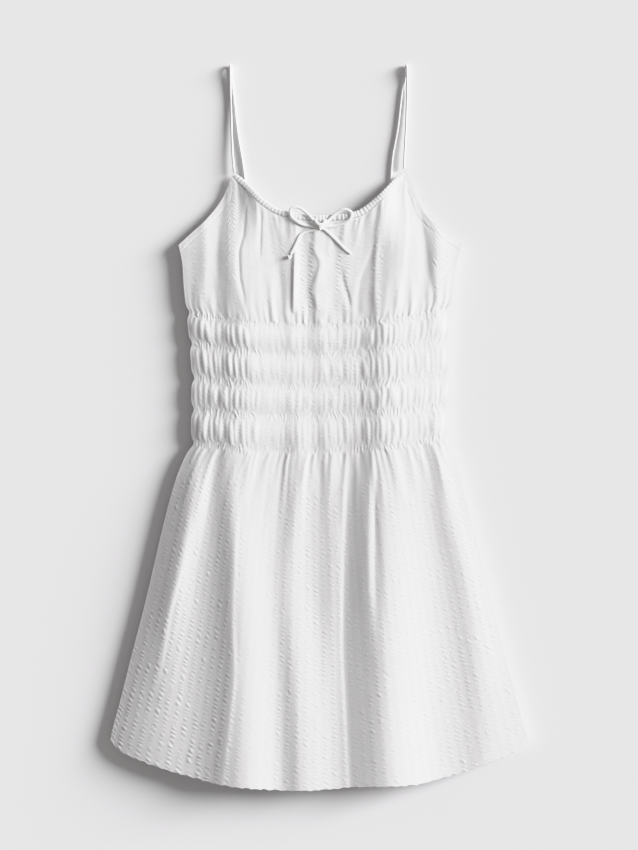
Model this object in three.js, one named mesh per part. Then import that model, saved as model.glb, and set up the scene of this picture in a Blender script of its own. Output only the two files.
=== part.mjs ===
import * as THREE from 'three';
import { mergeVertices } from 'three/addons/utils/BufferGeometryUtils.js';

// White seersucker dress with thin straps, laid flat on its back with its front up.
// Millimetres. X runs across the dress, Y up it towards the straps, Z up from the surface.
// The origin is under the middle of the laid dress.

// Driving dimensions
const WALL = 2;               // thickness of a cloth wall, straight down
const GAP = 0.3;              // clearance between pieces that are sewn or lie together
const BACK_WALL = 1.8;        // thickness of the back cloth
const SEAM_HEIGHT = 11;       // how high the front's edge stands at the side seams
const NECK_FALL = 6.5;        // how far the front comes down towards the surface above the armpits
const NECK_FALL_START = 215;  // height up the dress where it starts to come down
const NECK_FALL_END = 295;    // height up the dress where it is down
const NECK_SIDE_START = 75;   // how far from the middle it starts to come down
const NECK_SIDE_END = 105;    // how far from the middle it is down
const BACK_CURL = 34;         // how far in from a side seam the back cloth starts to curl up
const ARMPIT_Y = 226;         // top of the side seams
const WAIST_EASE = 3.5;       // how far an elastic row draws the side edge in
const PUFF_RISE = 1;          // how far a band between two elastic rows puffs up
const PINCH = 0.06;           // share of a fold's height that an elastic row takes away
const PINCH_REACH = 0.16;     // how far from a row that is felt, as a share of the band beside it
const SEAM_HALF_GAP = 0.2;    // half the gap between two panels that are sewn along an elastic row
const CHANNEL_WIDTH = 7;      // width of the drawstring channel along the neckline
const CHANNEL_THICKNESS = 4;  // thickness of the channel with the drawstring in it
const STRAP_DIAMETER = 3.2;
const CORD_DIAMETER = 3.5;

// Side edges of the laid dress: where the left and the right seam lie at each height up the dress
const SIDES = [
  { y: -398, left: -262.8, right: 262.8 },
  { y: -384, left: -260.5, right: 258 },
  { y: -343, left: -249.7, right: 246.6 },
  { y: -293, left: -237.2, right: 233.4 },
  { y: -243, left: -224.1, right: 220.9 },
  { y: -193, left: -211.8, right: 208.4 },
  { y: -143, left: -200.3, right: 195.9 },
  { y: -93, left: -187.8, right: 182.6 },
  { y: -62, left: -178.4, right: 175 },
  { y: -43, left: -170.6, right: 169.7 },
  { y: -20, left: -161, right: 162 },
  { y: 18, left: -161, right: 160.5 },
  { y: 60, left: -160.5, right: 161.5 },
  { y: 105, left: -163.5, right: 163 },
  { y: 150, left: -167.5, right: 165.8 },
  { y: 176, left: -170.3, right: 167.4 },
  { y: 201, left: -171.8, right: 171 },
  { y: 226, left: -176.6, right: 177.6 },
];

// Lower edge of the skirt
const HEM = [
  { x: -262.8, y: -392 },
  { x: -252, y: -405 },
  { x: -219.7, y: -419.7 },
  { x: -159.7, y: -438.4 },
  { x: -99.7, y: -450 },
  { x: -20, y: -454.7 },
  { x: 50, y: -450 },
  { x: 110, y: -448 },
  { x: 170, y: -435.3 },
  { x: 217.8, y: -418.5 },
  { x: 249.9, y: -405.3 },
  { x: 262.8, y: -398 },
];

// Upper edge of the neckline channel, from the left peak to the right peak
const NECKLINE = [
  { x: -106.6, y: 318 },
  { x: -93.8, y: 306.4 },
  { x: -67.2, y: 280.9 },
  { x: -51, y: 271 },
  { x: -30, y: 265.5 },
  { x: -2, y: 262.8 },
  { x: 25, y: 264.2 },
  { x: 45, y: 268 },
  { x: 67.8, y: 283.4 },
  { x: 93.7, y: 309.4 },
  { x: 105.2, y: 322.8 },
];

// Armhole edges, from each armpit up to the peak under the strap
const LEFT_ARMHOLE = [
  { x: -176.6, y: 226 },
  { x: -159.1, y: 242.4 },
  { x: -145.4, y: 254.7 },
  { x: -132.2, y: 269.7 },
  { x: -123.8, y: 281.7 },
  { x: -117.2, y: 293.9 },
];
const RIGHT_ARMHOLE = [
  { x: 119, y: 293 },
  { x: 124.7, y: 277.7 },
  { x: 131.6, y: 265.4 },
  { x: 143.7, y: 251.9 },
  { x: 157.3, y: 240 },
  { x: 177.6, y: 226 },
];

// The five elastic rows of the waist: height at the left edge, in the middle and at the right edge
const ROWS = [
  { left: 141, middle: 125, right: 146 },
  { left: 103.5, middle: 88.5, right: 109.5 },
  { left: 60, middle: 49.5, right: 63.5 },
  { left: 21, middle: 12, right: 27 },
  { left: -21.5, middle: -33, right: -14 },
];
const ROW_HALF_WIDTH = 163;

// The front is described at these stations up the dress: peaks, bust, first row, middle of the waist,
// last row, top of the skirt, hip, thigh, knee side and hem
const STATIONS = [300, 212, 140, 50, -27, -93, -193, -293, -393, -455];

// How high the front lies over its seams at each station, apart from its folds, on the left, in the
// middle and on the right, and how far in from a side seam it takes to come up to that
const LIE = {
  left: [1, 1.3, 2.6, 3, 3.5, 5.5, 7.5, 10, 12.5, 13],
  middle: [1, 2.5, 3.5, 3.5, 3.5, 4.5, 7, 10, 12.5, 13],
  right: [1, 1.5, 1.5, 1.5, 1.5, 2, 3, 4, 5.5, 6.5],
  reach: [14, 16, 20, 22, 16, 14, 18, 26, 38, 44],
};
const LEFT_PART = { from: 20, to: 130 };
const RIGHT_PART = { from: 40, to: 150 };

// The largest folds of the front. Each one is where its crest lies across the dress at each station, how
// high it stands there, and how far it takes to fall away on its left and on its right.
const FOLDS = [
  {
    crest: [-146, -143, -148, -150, -150, -158, -178, -190, -192, -188],
    rise: [0.5, 1.8, 1.8, 0.6, 1.4, 3.2, 3, 1.2, 0.4, 0],
    left: [10, 10, 12, 14, 14, 14, 17, 22, 28, 28],
    right: [10, 9, 10, 14, 14, 14, 16, 20, 24, 24],
  },
  {
    crest: [-104, -109, -98, -94, -104, -108, -102, -98, -97, -97],
    rise: [1.5, 4, 4.8, 3.6, 3.8, 4.8, 7.5, 9, 9.5, 9.5],
    left: [13, 15, 22, 30, 24, 18, 26, 34, 41, 42],
    right: [30, 44, 48, 48, 42, 36, 38, 42, 42, 42],
  },
  {
    crest: [-33, -36, -34, -29, -27, -30, -36, -30, -24, -22],
    rise: [1.2, 1.8, 1.4, 0.4, 1.8, 2, 2.5, 4, 4.5, 4.5],
    left: [14, 12, 12, 14, 14, 11, 18, 18, 20, 20],
    right: [14, 11, 12, 14, 14, 12, 18, 26, 28, 28],
  },
  {
    crest: [-2, -2, 0, 4, 8, 18, 15, 12, 10, 10],
    rise: [1.2, 2.2, 2, 0.4, 0.9, 0.8, 0.9, 0.6, 0, 0],
    left: [9, 9, 10, 10, 10, 10, 11, 11, 11, 11],
    right: [12, 12, 12, 12, 12, 12, 14, 14, 14, 14],
  },
  {
    crest: [32, 32, 33, 36, 38, 38, 38, 38, 38, 38],
    rise: [1, 0.9, 0.6, 0.3, 0, 0, 0, 0, 0, 0],
    left: [9, 9, 9, 9, 9, 9, 9, 9, 9, 9],
    right: [16, 16, 16, 16, 16, 16, 16, 16, 16, 16],
  },
  {
    crest: [84, 92, 82, 80, 78, 80, 82, 85, 89, 93],
    rise: [1.5, 3, 3.8, 3.8, 4.2, 6.2, 8.5, 10, 10.5, 10.5],
    left: [14, 24, 20, 20, 22, 27, 32, 36, 40, 42],
    right: [30, 34, 46, 50, 46, 44, 48, 52, 52, 52],
  },
  {
    crest: [140, 147, 148, 152, 152, 156, 182, 198, 206, 206],
    rise: [0.8, 2, 1.6, 0.4, 1.5, 1.7, 1.8, 1.8, 1.3, 1.3],
    left: [12, 10, 12, 14, 14, 14, 20, 22, 22, 22],
    right: [16, 14, 14, 18, 18, 18, 24, 26, 26, 26],
  },
];

// How many cells each panel has across and along
const GRIDS = {
  waistFront: { across: 34, along: 12 },
  skirtFront: { across: 46, along: 14 },
  bodiceBack: { across: 18, along: 4 },
  waistBack: { across: 18, along: 4 },
  skirtBack: { across: 20, along: 6 },
};
const BODICE_CELLS = { underArmhole: 7, underNeck: 26, along: 8 };
const CHANNEL_CELLS = { across: 2, along: 40 };
const TUBE_SIDES = 8;
const LOOP_STEPS = 16;
const TAIL_STEPS = 8;
const STRAP_STEPS = 56;
const KNOT_SIDES = 12;
const KNOT_RINGS = 8;

// Drawstring and straps: points chosen by hand along each length of cord, seen from above
const LEFT_LOOP = [
  [-4.2, 252.5], [-16, 265], [-28, 273], [-36, 270.5], [-36, 262], [-27, 254], [-16, 250], [-6.4, 248.6],
];
const RIGHT_LOOP = [
  [6.2, 252.5], [20, 265], [32, 270], [39.5, 266], [38, 258.5], [28, 252.5], [18, 249.5], [8.4, 248.6],
];
const LEFT_TAIL = [[-5.4, 244.2], [-15, 242.5], [-24, 238.5], [-29, 229], [-34, 218.5], [-36.6, 213.2]];
const RIGHT_TAIL = [[6.2, 244.9], [16, 236], [26, 226], [33, 219], [39, 214.7]];
const KNOT = { x: 1, y: 248.6, width: 14, depth: 10, height: 6.4 };
const TAIL_KNOT = { x: -38.2, y: 210.6, radius: 2.6 };
const CORD_LIFT = 0.5;        // how far the cord lies clear of the highest cloth beside it
// Each strap starts at its peak. The third number of a point in front is its height from the surface.
const LEFT_STRAP = {
  start: [-107.1, 317.7],
  front: [
    [-109, 337, 5.2], [-110.4, 367, 4], [-111.7, 412, 3.2], [-112.2, 436, 4.6], [-112.2, 450, 5.75],
  ],
  back: [
    [-111.6, 450], [-110.6, 440], [-107.3, 408], [-102.8, 367], [-96.3, 327], [-92, 296], [-87, 262],
    [-82.2, 226.6],
  ],
};
const RIGHT_STRAP = {
  start: [105.4, 322.3],
  front: [
    [106.4, 342, 5.2], [108.4, 381, 3.8], [109.4, 418, 3.2], [109.1, 438, 4.6], [108.9, 450, 5.75],
  ],
  back: [
    [108.3, 450], [107, 440], [103.4, 420], [97.6, 372], [91.2, 337], [88, 300], [82, 262],
    [76.6, 226.6],
  ],
};

// Smooth curve through a table's rows, sorted by one column and read from another
function readTable(rows, key, column, at) {
  const last = rows.length - 1;
  if (at <= rows[0][key]) return rows[0][column];
  if (at >= rows[last][key]) return rows[last][column];
  let index = 0;
  while (rows[index + 1][key] < at) index += 1;
  const slope = (k) => (rows[k + 1][column] - rows[k][column]) / (rows[k + 1][key] - rows[k][key]);
  const tangent = (k) => {
    if (k === 0) return slope(0);
    if (k === last) return slope(last - 1);
    const before = slope(k - 1);
    const after = slope(k);
    return before * after <= 0 ? 0 : (2 * before * after) / (before + after);
  };
  const span = rows[index + 1][key] - rows[index][key];
  const t = (at - rows[index][key]) / span;
  const ease = t * t * (3 - 2 * t);
  return rows[index][column] * (1 - ease)
    + rows[index + 1][column] * ease
    + span * t * (1 - t) * ((1 - t) * tangent(index) - t * tangent(index + 1));
}

function smoothstep(low, high, value) {
  const t = Math.min(Math.max((value - low) / (high - low), 0), 1);
  return t * t * (3 - 2 * t);
}

function rowHeight(row, x) {
  const share = x / ROW_HALF_WIDTH;
  const tilt = (row.right - row.left) / 2;
  const sag = (row.left + row.right) / 2 - row.middle;
  return row.middle + tilt * share + sag * share * share;
}

const topRow = (x) => rowHeight(ROWS[0], x);
const bottomRow = (x) => rowHeight(ROWS[ROWS.length - 1], x);

// Which band of the waist a point lies in: 0 on the first elastic row, 4 on the last
function bandPlace(x, y) {
  const heights = ROWS.map((row) => rowHeight(row, x));
  if (y >= heights[0]) return (heights[0] - y) / (heights[0] - heights[1]);
  for (let band = 0; band < heights.length - 1; band += 1) {
    if (y >= heights[band + 1]) return band + (heights[band] - y) / (heights[band] - heights[band + 1]);
  }
  const last = heights.length - 1;
  return last + (heights[last] - y) / (heights[last - 1] - heights[last]);
}

// 0 on an elastic row, 1 in the middle of a puffed band
function puff(x, y) {
  const place = bandPlace(x, y);
  if (place <= 0 || place >= ROWS.length - 1) return 0;
  return Math.sin(Math.PI * place) ** 2;
}

// 1 on an elastic row and 0 a little way from it
function pinch(x, y) {
  const place = bandPlace(x, y);
  const nearest = Math.min(Math.max(Math.round(place), 0), ROWS.length - 1);
  return Math.exp(-(((place - nearest) / PINCH_REACH) ** 2));
}

function sideEdge(side, y) {
  const edge = readTable(SIDES, 'y', side, y);
  const inward = WAIST_EASE * pinch(edge, y);
  return side === 'left' ? edge + inward : edge - inward;
}

// Value at a height up the dress, from a list that holds it at each station
function atStation(values, y) {
  const rows = STATIONS.map((station, k) => ({ down: -station, value: values[k] }));
  return readTable(rows, 'down', 'value', -y);
}

function foldRise(fold, x, y) {
  const away = x - atStation(fold.crest, y);
  const width = atStation(away < 0 ? fold.left : fold.right, y);
  return atStation(fold.rise, y) * Math.exp(-((away / width) ** 2));
}

function edgeDistance(x, y) {
  return Math.max(Math.min(x - sideEdge('left', y), sideEdge('right', y) - x), 0);
}

// Underside of the back cloth: flat on the surface, curled up along the side seams
function backUnderside(x, y) {
  const curled = SEAM_HEIGHT - WALL - GAP - BACK_WALL;
  return curled * (1 - smoothstep(0, BACK_CURL, edgeDistance(x, y)));
}

// How high the front lies over its seams, apart from its folds
function lieHeight(x, y) {
  const middle = atStation(LIE.middle, y);
  const toLeft = (atStation(LIE.left, y) - middle) * smoothstep(LEFT_PART.from, LEFT_PART.to, -x);
  const toRight = (atStation(LIE.right, y) - middle) * smoothstep(RIGHT_PART.from, RIGHT_PART.to, x);
  return middle + toLeft + toRight;
}

// Top of the front cloth: folds on a low rise that falls to the side seams
const EDGE_SHARPNESS = 1.2;
const FOLD_REACH = 1.6;

function frontTop(x, y) {
  const inside = edgeDistance(x, y);
  const reach = atStation(LIE.reach, y);
  const spread = 1 - Math.exp(-((inside / reach) ** EDGE_SHARPNESS));
  const rounding = Math.sin((Math.PI / 2) * Math.min(inside / (reach * FOLD_REACH), 1));
  const folds = FOLDS.reduce((sum, fold) => sum + foldRise(fold, x, y), 0);
  const fall = smoothstep(NECK_FALL_START, NECK_FALL_END, y)
    * smoothstep(NECK_SIDE_START, NECK_SIDE_END, Math.abs(x));
  const seam = SEAM_HEIGHT - NECK_FALL * fall;
  const height = seam + lieHeight(x, y) * spread
    + folds * rounding * (1 - PINCH * pinch(x, y))
    + PUFF_RISE * puff(x, y) * rounding;
  return Math.max(height, backUnderside(x, y) + BACK_WALL + GAP + WALL);
}

// Point a given way inside the neckline, measured square to it
function insideNeckline(x, depth) {
  const step = 0.5;
  const y = readTable(NECKLINE, 'x', 'y', x);
  const before = readTable(NECKLINE, 'x', 'y', x - step);
  const after = readTable(NECKLINE, 'x', 'y', x + step);
  const slope = (after - before) / (2 * step);
  const length = Math.hypot(1, slope);
  return { x: x + (depth * slope) / length, y: y - depth / length };
}

// Upper edge of the front bodice: armhole, then the foot of the neckline channel, then armhole
const CHANNEL_START = NECKLINE[0].x + 1;
const CHANNEL_END = NECKLINE[NECKLINE.length - 1].x - 1;

function channelFoot() {
  const points = [];
  for (let k = 0; k <= CHANNEL_CELLS.along; k += 1) {
    const x = CHANNEL_START + ((CHANNEL_END - CHANNEL_START) * k) / CHANNEL_CELLS.along;
    points.push(insideNeckline(x, CHANNEL_WIDTH + GAP * 2));
  }
  return points;
}

const CHANNEL_FOOT = channelFoot();
const LEFT_PEAK = CHANNEL_FOOT[0];
const RIGHT_PEAK = CHANNEL_FOOT[CHANNEL_CELLS.along];
const LEFT_TOP = [...LEFT_ARMHOLE, LEFT_PEAK];
const RIGHT_TOP = [RIGHT_PEAK, ...RIGHT_ARMHOLE];

function bodiceTop(x) {
  if (x <= LEFT_PEAK.x) return readTable(LEFT_TOP, 'x', 'y', x);
  if (x >= RIGHT_PEAK.x) return readTable(RIGHT_TOP, 'x', 'y', x);
  return readTable(CHANNEL_FOOT, 'x', 'y', x);
}

const hem = (x) => readTable(HEM, 'x', 'y', x);

// Point of a panel between its four edges, with u across it and v down it
function panelPoint(panel, u, v) {
  const corner = {
    topLeft: { x: sideEdge('left', panel.leftTop), y: panel.leftTop },
    topRight: { x: sideEdge('right', panel.rightTop), y: panel.rightTop },
    lowLeft: { x: sideEdge('left', panel.leftLow), y: panel.leftLow },
    lowRight: { x: sideEdge('right', panel.rightLow), y: panel.rightLow },
  };
  const topX = corner.topLeft.x + (corner.topRight.x - corner.topLeft.x) * u;
  const lowX = corner.lowLeft.x + (corner.lowRight.x - corner.lowLeft.x) * u;
  const topY = panel.top(topX);
  const lowY = panel.low(lowX);
  const leftY = corner.topLeft.y + (corner.lowLeft.y - corner.topLeft.y) * v;
  const rightY = corner.topRight.y + (corner.lowRight.y - corner.topRight.y) * v;
  const straightLeft = corner.topLeft.x + (corner.lowLeft.x - corner.topLeft.x) * v;
  const straightRight = corner.topRight.x + (corner.lowRight.x - corner.topRight.x) * v;
  const bulge = (1 - u) * (sideEdge('left', leftY) - straightLeft)
    + u * (sideEdge('right', rightY) - straightRight);
  return { x: topX + (lowX - topX) * v + bulge, y: topY + (lowY - topY) * v };
}

function evenShares(count) {
  return Array.from({ length: count + 1 }, (_, k) => k / count);
}

// Closed wall on a grid of columns and rows, with its upper and lower faces worked out at each point
function wallGeometry(columnShares, rowShares, place, upper, lower) {
  const positions = [];
  const index = [];
  const across = columnShares.length - 1;
  const along = rowShares.length - 1;
  const columns = across + 1;
  const layer = columns * (along + 1);
  for (const height of [upper, lower]) {
    for (const down of rowShares) {
      for (const over of columnShares) {
        const { x, y } = place(over, down);
        positions.push(x, y, height(x, y));
      }
    }
  }
  const quad = (a, b, c, d) => index.push(a, b, c, a, c, d);
  for (let row = 0; row < along; row += 1) {
    for (let column = 0; column < across; column += 1) {
      const a = row * columns + column;
      const b = a + columns;
      quad(a, b, b + 1, a + 1);
      quad(layer + a, layer + a + 1, layer + b + 1, layer + b);
    }
  }
  const rim = [];
  for (let column = 0; column < across; column += 1) rim.push(column);
  for (let row = 0; row < along; row += 1) rim.push(row * columns + across);
  for (let column = across; column > 0; column -= 1) rim.push(along * columns + column);
  for (let row = along; row > 0; row -= 1) rim.push(row * columns);
  rim.forEach((here, k) => {
    const next = rim[(k + 1) % rim.length];
    quad(here, next, layer + next, layer + here);
  });
  const geometry = new THREE.BufferGeometry();
  geometry.setAttribute('position', new THREE.Float32BufferAttribute(positions, 3));
  geometry.setIndex(index);
  return geometry;
}

const COTTON = { color: 0xf4f3f0, roughness: 0.9, metalness: 0 };
const CORD = { color: 0xf6f5f2, roughness: 0.8, metalness: 0 };

const dress = new THREE.Group();
dress.name = 'seersucker_dress';

function addPiece(name, geometry, finish) {
  const mesh = new THREE.Mesh(geometry, new THREE.MeshStandardMaterial(finish));
  mesh.name = name;
  dress.add(mesh);
  return mesh;
}

function addFront(name, columns, rows, panel) {
  const place = (u, v) => panelPoint(panel, u, v);
  const lower = (x, y) => frontTop(x, y) - WALL;
  addPiece(name, wallGeometry(columns, rows, place, frontTop, lower), COTTON);
}

function addBack(name, columns, rows, panel) {
  const place = (u, v) => panelPoint(panel, u, v);
  const upper = (x, y) => backUnderside(x, y) + BACK_WALL;
  addPiece(name, wallGeometry(columns, rows, place, upper, backUnderside), COTTON);
}

// Columns of the front bodice, with one on each peak so that the corner under the strap is kept
function bodiceColumns() {
  const left = sideEdge('left', ARMPIT_Y);
  const right = sideEdge('right', ARMPIT_Y);
  const stops = [left, LEFT_PEAK.x, RIGHT_PEAK.x, right];
  const counts = [BODICE_CELLS.underArmhole, BODICE_CELLS.underNeck, BODICE_CELLS.underArmhole];
  const shares = [0];
  counts.forEach((count, part) => {
    for (let k = 1; k <= count; k += 1) {
      const x = stops[part] + ((stops[part + 1] - stops[part]) * k) / count;
      shares.push((x - left) / (right - left));
    }
  });
  return shares;
}

const waistTop = (x) => topRow(x) - SEAM_HALF_GAP;
const waistLow = (x) => bottomRow(x) + SEAM_HALF_GAP;
const bodiceLow = (x) => topRow(x) + SEAM_HALF_GAP;
const skirtTop = (x) => bottomRow(x) - SEAM_HALF_GAP;
const sideOf = (edge, guess) => edge(sideEdge(guess < 0 ? 'left' : 'right', edge(guess)));

const bodice = {
  top: bodiceTop, low: bodiceLow,
  leftTop: ARMPIT_Y, rightTop: ARMPIT_Y,
  leftLow: sideOf(bodiceLow, -ROW_HALF_WIDTH), rightLow: sideOf(bodiceLow, ROW_HALF_WIDTH),
};
const waist = {
  top: waistTop, low: waistLow,
  leftTop: sideOf(waistTop, -ROW_HALF_WIDTH), rightTop: sideOf(waistTop, ROW_HALF_WIDTH),
  leftLow: sideOf(waistLow, -ROW_HALF_WIDTH), rightLow: sideOf(waistLow, ROW_HALF_WIDTH),
};
const skirt = {
  top: skirtTop, low: hem,
  leftTop: sideOf(skirtTop, -ROW_HALF_WIDTH), rightTop: sideOf(skirtTop, ROW_HALF_WIDTH),
  leftLow: HEM[0].y, rightLow: HEM[HEM.length - 1].y,
};
const backBodice = { ...bodice, top: () => ARMPIT_Y };

const onGrid = (grid) => [evenShares(grid.across), evenShares(grid.along)];
addFront('bodice_front', bodiceColumns(), evenShares(BODICE_CELLS.along), bodice);
addFront('waist_front', ...onGrid(GRIDS.waistFront), waist);
addFront('skirt_front', ...onGrid(GRIDS.skirtFront), skirt);
addBack('bodice_back', ...onGrid(GRIDS.bodiceBack), backBodice);
addBack('waist_back', ...onGrid(GRIDS.waistBack), waist);
addBack('skirt_back', ...onGrid(GRIDS.skirtBack), skirt);

// Drawstring channel: a flat folded band along the neckline, with the drawstring inside it
function channelGeometry() {
  const length = CHANNEL_END - CHANNEL_START;
  const place = (u, v) => insideNeckline(CHANNEL_START + length * u, CHANNEL_WIDTH * v);
  const middle = (x, y) => frontTop(x, y) - WALL / 2;
  const upper = (x, y) => middle(x, y) + CHANNEL_THICKNESS / 2;
  const lower = (x, y) => middle(x, y) - CHANNEL_THICKNESS / 2;
  const { along, across } = CHANNEL_CELLS;
  return wallGeometry(evenShares(along), evenShares(across), place, upper, lower);
}

addPiece('neck_channel', channelGeometry(), COTTON);

function circle(diameter, sides) {
  const points = [];
  for (let k = 0; k < sides; k += 1) {
    const angle = (2 * Math.PI * (k + 0.5)) / sides;
    points.push(new THREE.Vector2((Math.cos(angle) * diameter) / 2, (Math.sin(angle) * diameter) / 2));
  }
  return new THREE.Shape(points);
}

function tube(points, diameter, steps) {
  const path = new THREE.CatmullRomCurve3(points, false, 'centripetal');
  const swept = new THREE.ExtrudeGeometry(circle(diameter, TUBE_SIDES), { steps, extrudePath: path });
  swept.deleteAttribute('normal');
  swept.deleteAttribute('uv');
  return mergeVertices(swept);
}

// Highest top of the front cloth within a cord's own width, so that the cord lies clear of it
const WAYS_ROUND = 8;

function clothUnder(x, y, reach) {
  let highest = 0;
  for (let k = 0; k < WAYS_ROUND; k += 1) {
    const angle = (2 * Math.PI * k) / WAYS_ROUND;
    highest = Math.max(highest, frontTop(x + Math.cos(angle) * reach, y + Math.sin(angle) * reach));
  }
  return Math.max(highest, frontTop(x, y));
}

// How much higher a cord lies where it is over the channel or near it
const CHANNEL_RISE = (CHANNEL_THICKNESS - WALL) / 2;
const CHANNEL_NEAR = { inside: 12, outside: 10.5 };

function overChannel(x, y) {
  const depth = readTable(NECKLINE, 'x', 'y', x) - y;
  return depth < CHANNEL_NEAR.inside && depth > -CHANNEL_NEAR.outside ? CHANNEL_RISE : 0;
}

function cordOnCloth(route) {
  return route.map(([x, y]) => {
    const cloth = clothUnder(x, y, CORD_DIAMETER) + overChannel(x, y);
    return new THREE.Vector3(x, y, cloth + CORD_DIAMETER / 2 + CORD_LIFT);
  });
}

addPiece('bow_loop_left', tube(cordOnCloth(LEFT_LOOP), CORD_DIAMETER, LOOP_STEPS), CORD);
addPiece('bow_loop_right', tube(cordOnCloth(RIGHT_LOOP), CORD_DIAMETER, LOOP_STEPS), CORD);
addPiece('bow_tail_left', tube(cordOnCloth(LEFT_TAIL), CORD_DIAMETER, TAIL_STEPS), CORD);
addPiece('bow_tail_right', tube(cordOnCloth(RIGHT_TAIL), CORD_DIAMETER, TAIL_STEPS), CORD);

// The two knots are rounded lumps of wound cord
function lump(width, depth, height, x, y, z) {
  const ball = new THREE.SphereGeometry(0.5, KNOT_SIDES, KNOT_RINGS);
  ball.deleteAttribute('normal');
  ball.deleteAttribute('uv');
  const closed = mergeVertices(ball);
  closed.scale(width, depth, height);
  closed.translate(x, y, z);
  return closed;
}

const knotSeat = clothUnder(KNOT.x, KNOT.y, KNOT.depth / 2);
const knotHeight = knotSeat + KNOT.height / 2 + GAP;
addPiece('bow_knot', lump(KNOT.width, KNOT.depth, KNOT.height, KNOT.x, KNOT.y, knotHeight), CORD);
const endSeat = clothUnder(TAIL_KNOT.x, TAIL_KNOT.y, TAIL_KNOT.radius);
const endHeight = endSeat + TAIL_KNOT.radius + GAP;
const endSize = TAIL_KNOT.radius * 2;
addPiece('bow_tail_knot', lump(endSize, endSize, endSize, TAIL_KNOT.x, TAIL_KNOT.y, endHeight), CORD);

// A strap runs up from its peak, turns over at the top and comes back under the front to the back edge
const STRAP_CLEARANCE = 0.35;
const STRAP_TURN = 1.9;       // radius of the turn at the top of a strap

function strapPoints(strap) {
  const low = STRAP_DIAMETER / 2 + STRAP_CLEARANCE;
  const [startX, startY] = strap.start;
  const startHeight = frontTop(startX, startY - CHANNEL_WIDTH) - WALL / 2;
  const points = [new THREE.Vector3(startX, startY, startHeight)];
  strap.front.forEach(([x, y, z]) => points.push(new THREE.Vector3(x, y, z)));
  const [topX, topY] = strap.front[strap.front.length - 1];
  const [backX] = strap.back[0];
  points.push(new THREE.Vector3((topX + backX) / 2, topY + STRAP_TURN, low + STRAP_TURN));
  strap.back.forEach(([x, y]) => points.push(new THREE.Vector3(x, y, low)));
  return points;
}

addPiece('strap_left', tube(strapPoints(LEFT_STRAP), STRAP_DIAMETER, STRAP_STEPS), COTTON);
addPiece('strap_right', tube(strapPoints(RIGHT_STRAP), STRAP_DIAMETER, STRAP_STEPS), COTTON);

export default dress;
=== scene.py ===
"""White seersucker sundress with thin straps and a drawstring neckline, laid flat on its back.

Every panel is a thin closed shell of cloth on the form of its solid. Sizes are millimetres, X across the
dress, Y up it towards the straps and Z up from the surface, and a mesh is turned to metres when it is made.
The routes of the cords and the straps are written in metres, as the frame is.
"""

import logging
import math
from dataclasses import dataclass
from enum import Enum
from typing import Callable, Sequence

import bpy
import numpy as np
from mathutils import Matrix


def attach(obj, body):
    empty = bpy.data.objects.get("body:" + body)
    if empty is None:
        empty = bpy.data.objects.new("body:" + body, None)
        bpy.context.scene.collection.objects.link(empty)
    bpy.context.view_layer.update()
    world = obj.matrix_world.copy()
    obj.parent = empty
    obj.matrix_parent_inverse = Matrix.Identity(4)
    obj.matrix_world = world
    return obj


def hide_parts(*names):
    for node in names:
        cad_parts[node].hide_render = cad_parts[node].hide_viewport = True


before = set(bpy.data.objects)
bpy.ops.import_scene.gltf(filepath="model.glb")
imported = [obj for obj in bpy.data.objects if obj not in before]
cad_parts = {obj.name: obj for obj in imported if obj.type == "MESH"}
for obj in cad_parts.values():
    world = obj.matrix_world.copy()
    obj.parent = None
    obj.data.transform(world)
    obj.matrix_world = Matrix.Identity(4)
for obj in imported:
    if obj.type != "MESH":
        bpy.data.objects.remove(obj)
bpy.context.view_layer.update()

LOG = logging.getLogger("seersucker_dress")
MM = 0.001
Array = np.ndarray
Curve = Callable[[Array], Array]

SEAM_HEIGHT = 11.0  # upper face along the side seams
NECK_FALL = 6.5  # how much lower that face lies at the neckline's peaks
NECK_FALLS_FROM = (215.0, 295.0)  # heights up the dress between which it falls
NECK_SIDES_FROM = (75.0, 105.0)  # places from the middle between which it falls
WALL = 2.0  # the front solids' wall
BACK_WALL = 1.8  # the back solids' wall
GAP = 0.3  # between front and back
BACK_CURL = 34.0  # how far in from a side seam the back curls up
ARMPIT_Y = 226.0
WAIST_EASE = 3.5  # how far an elastic row draws a side seam in
PUFF_RISE = 1.0  # how far a band between two elastic rows puffs up
PINCH = 0.06  # share of a fold's height that an elastic row takes away
LAST_ROW = 4  # the elastic rows are numbered from 0, the highest
CHANNEL_WIDTH = 7.0
CHANNEL_THICKNESS = 4.0
CHANNEL_INSET = 1.0  # how far inside the neckline's ends the channel starts
STRAP_DIAMETER = 3.2
CORD_DIAMETER = 3.5
SEAM_HALF_GAP = 0.005  # half the gap between two panels sewn along an elastic row
SEAM_EASE = 6.0  # how far from a side seam the fine detail has its full height
CLOTH_EDGE = 0.9  # thickness of a front panel's border
LEAST_WALL = 0.6  # least room for the cloth over the back
EDGE_LINE = 0.0004  # share of a panel between its border and the next line of points
PAINTED_LIGHT_FROM = (-0.11, 0.06)  # metres up the dress between which the cloth turns to a painted light: a whiter white on the upper dress


def in_mm(point: Sequence[float]) -> tuple:
    """A point of a route, from metres to millimetres."""
    return tuple(value / MM for value in point)


class Side(Enum):
    """The side of the dress, as seen from above."""

    LEFT = "left"
    RIGHT = "right"


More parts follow.
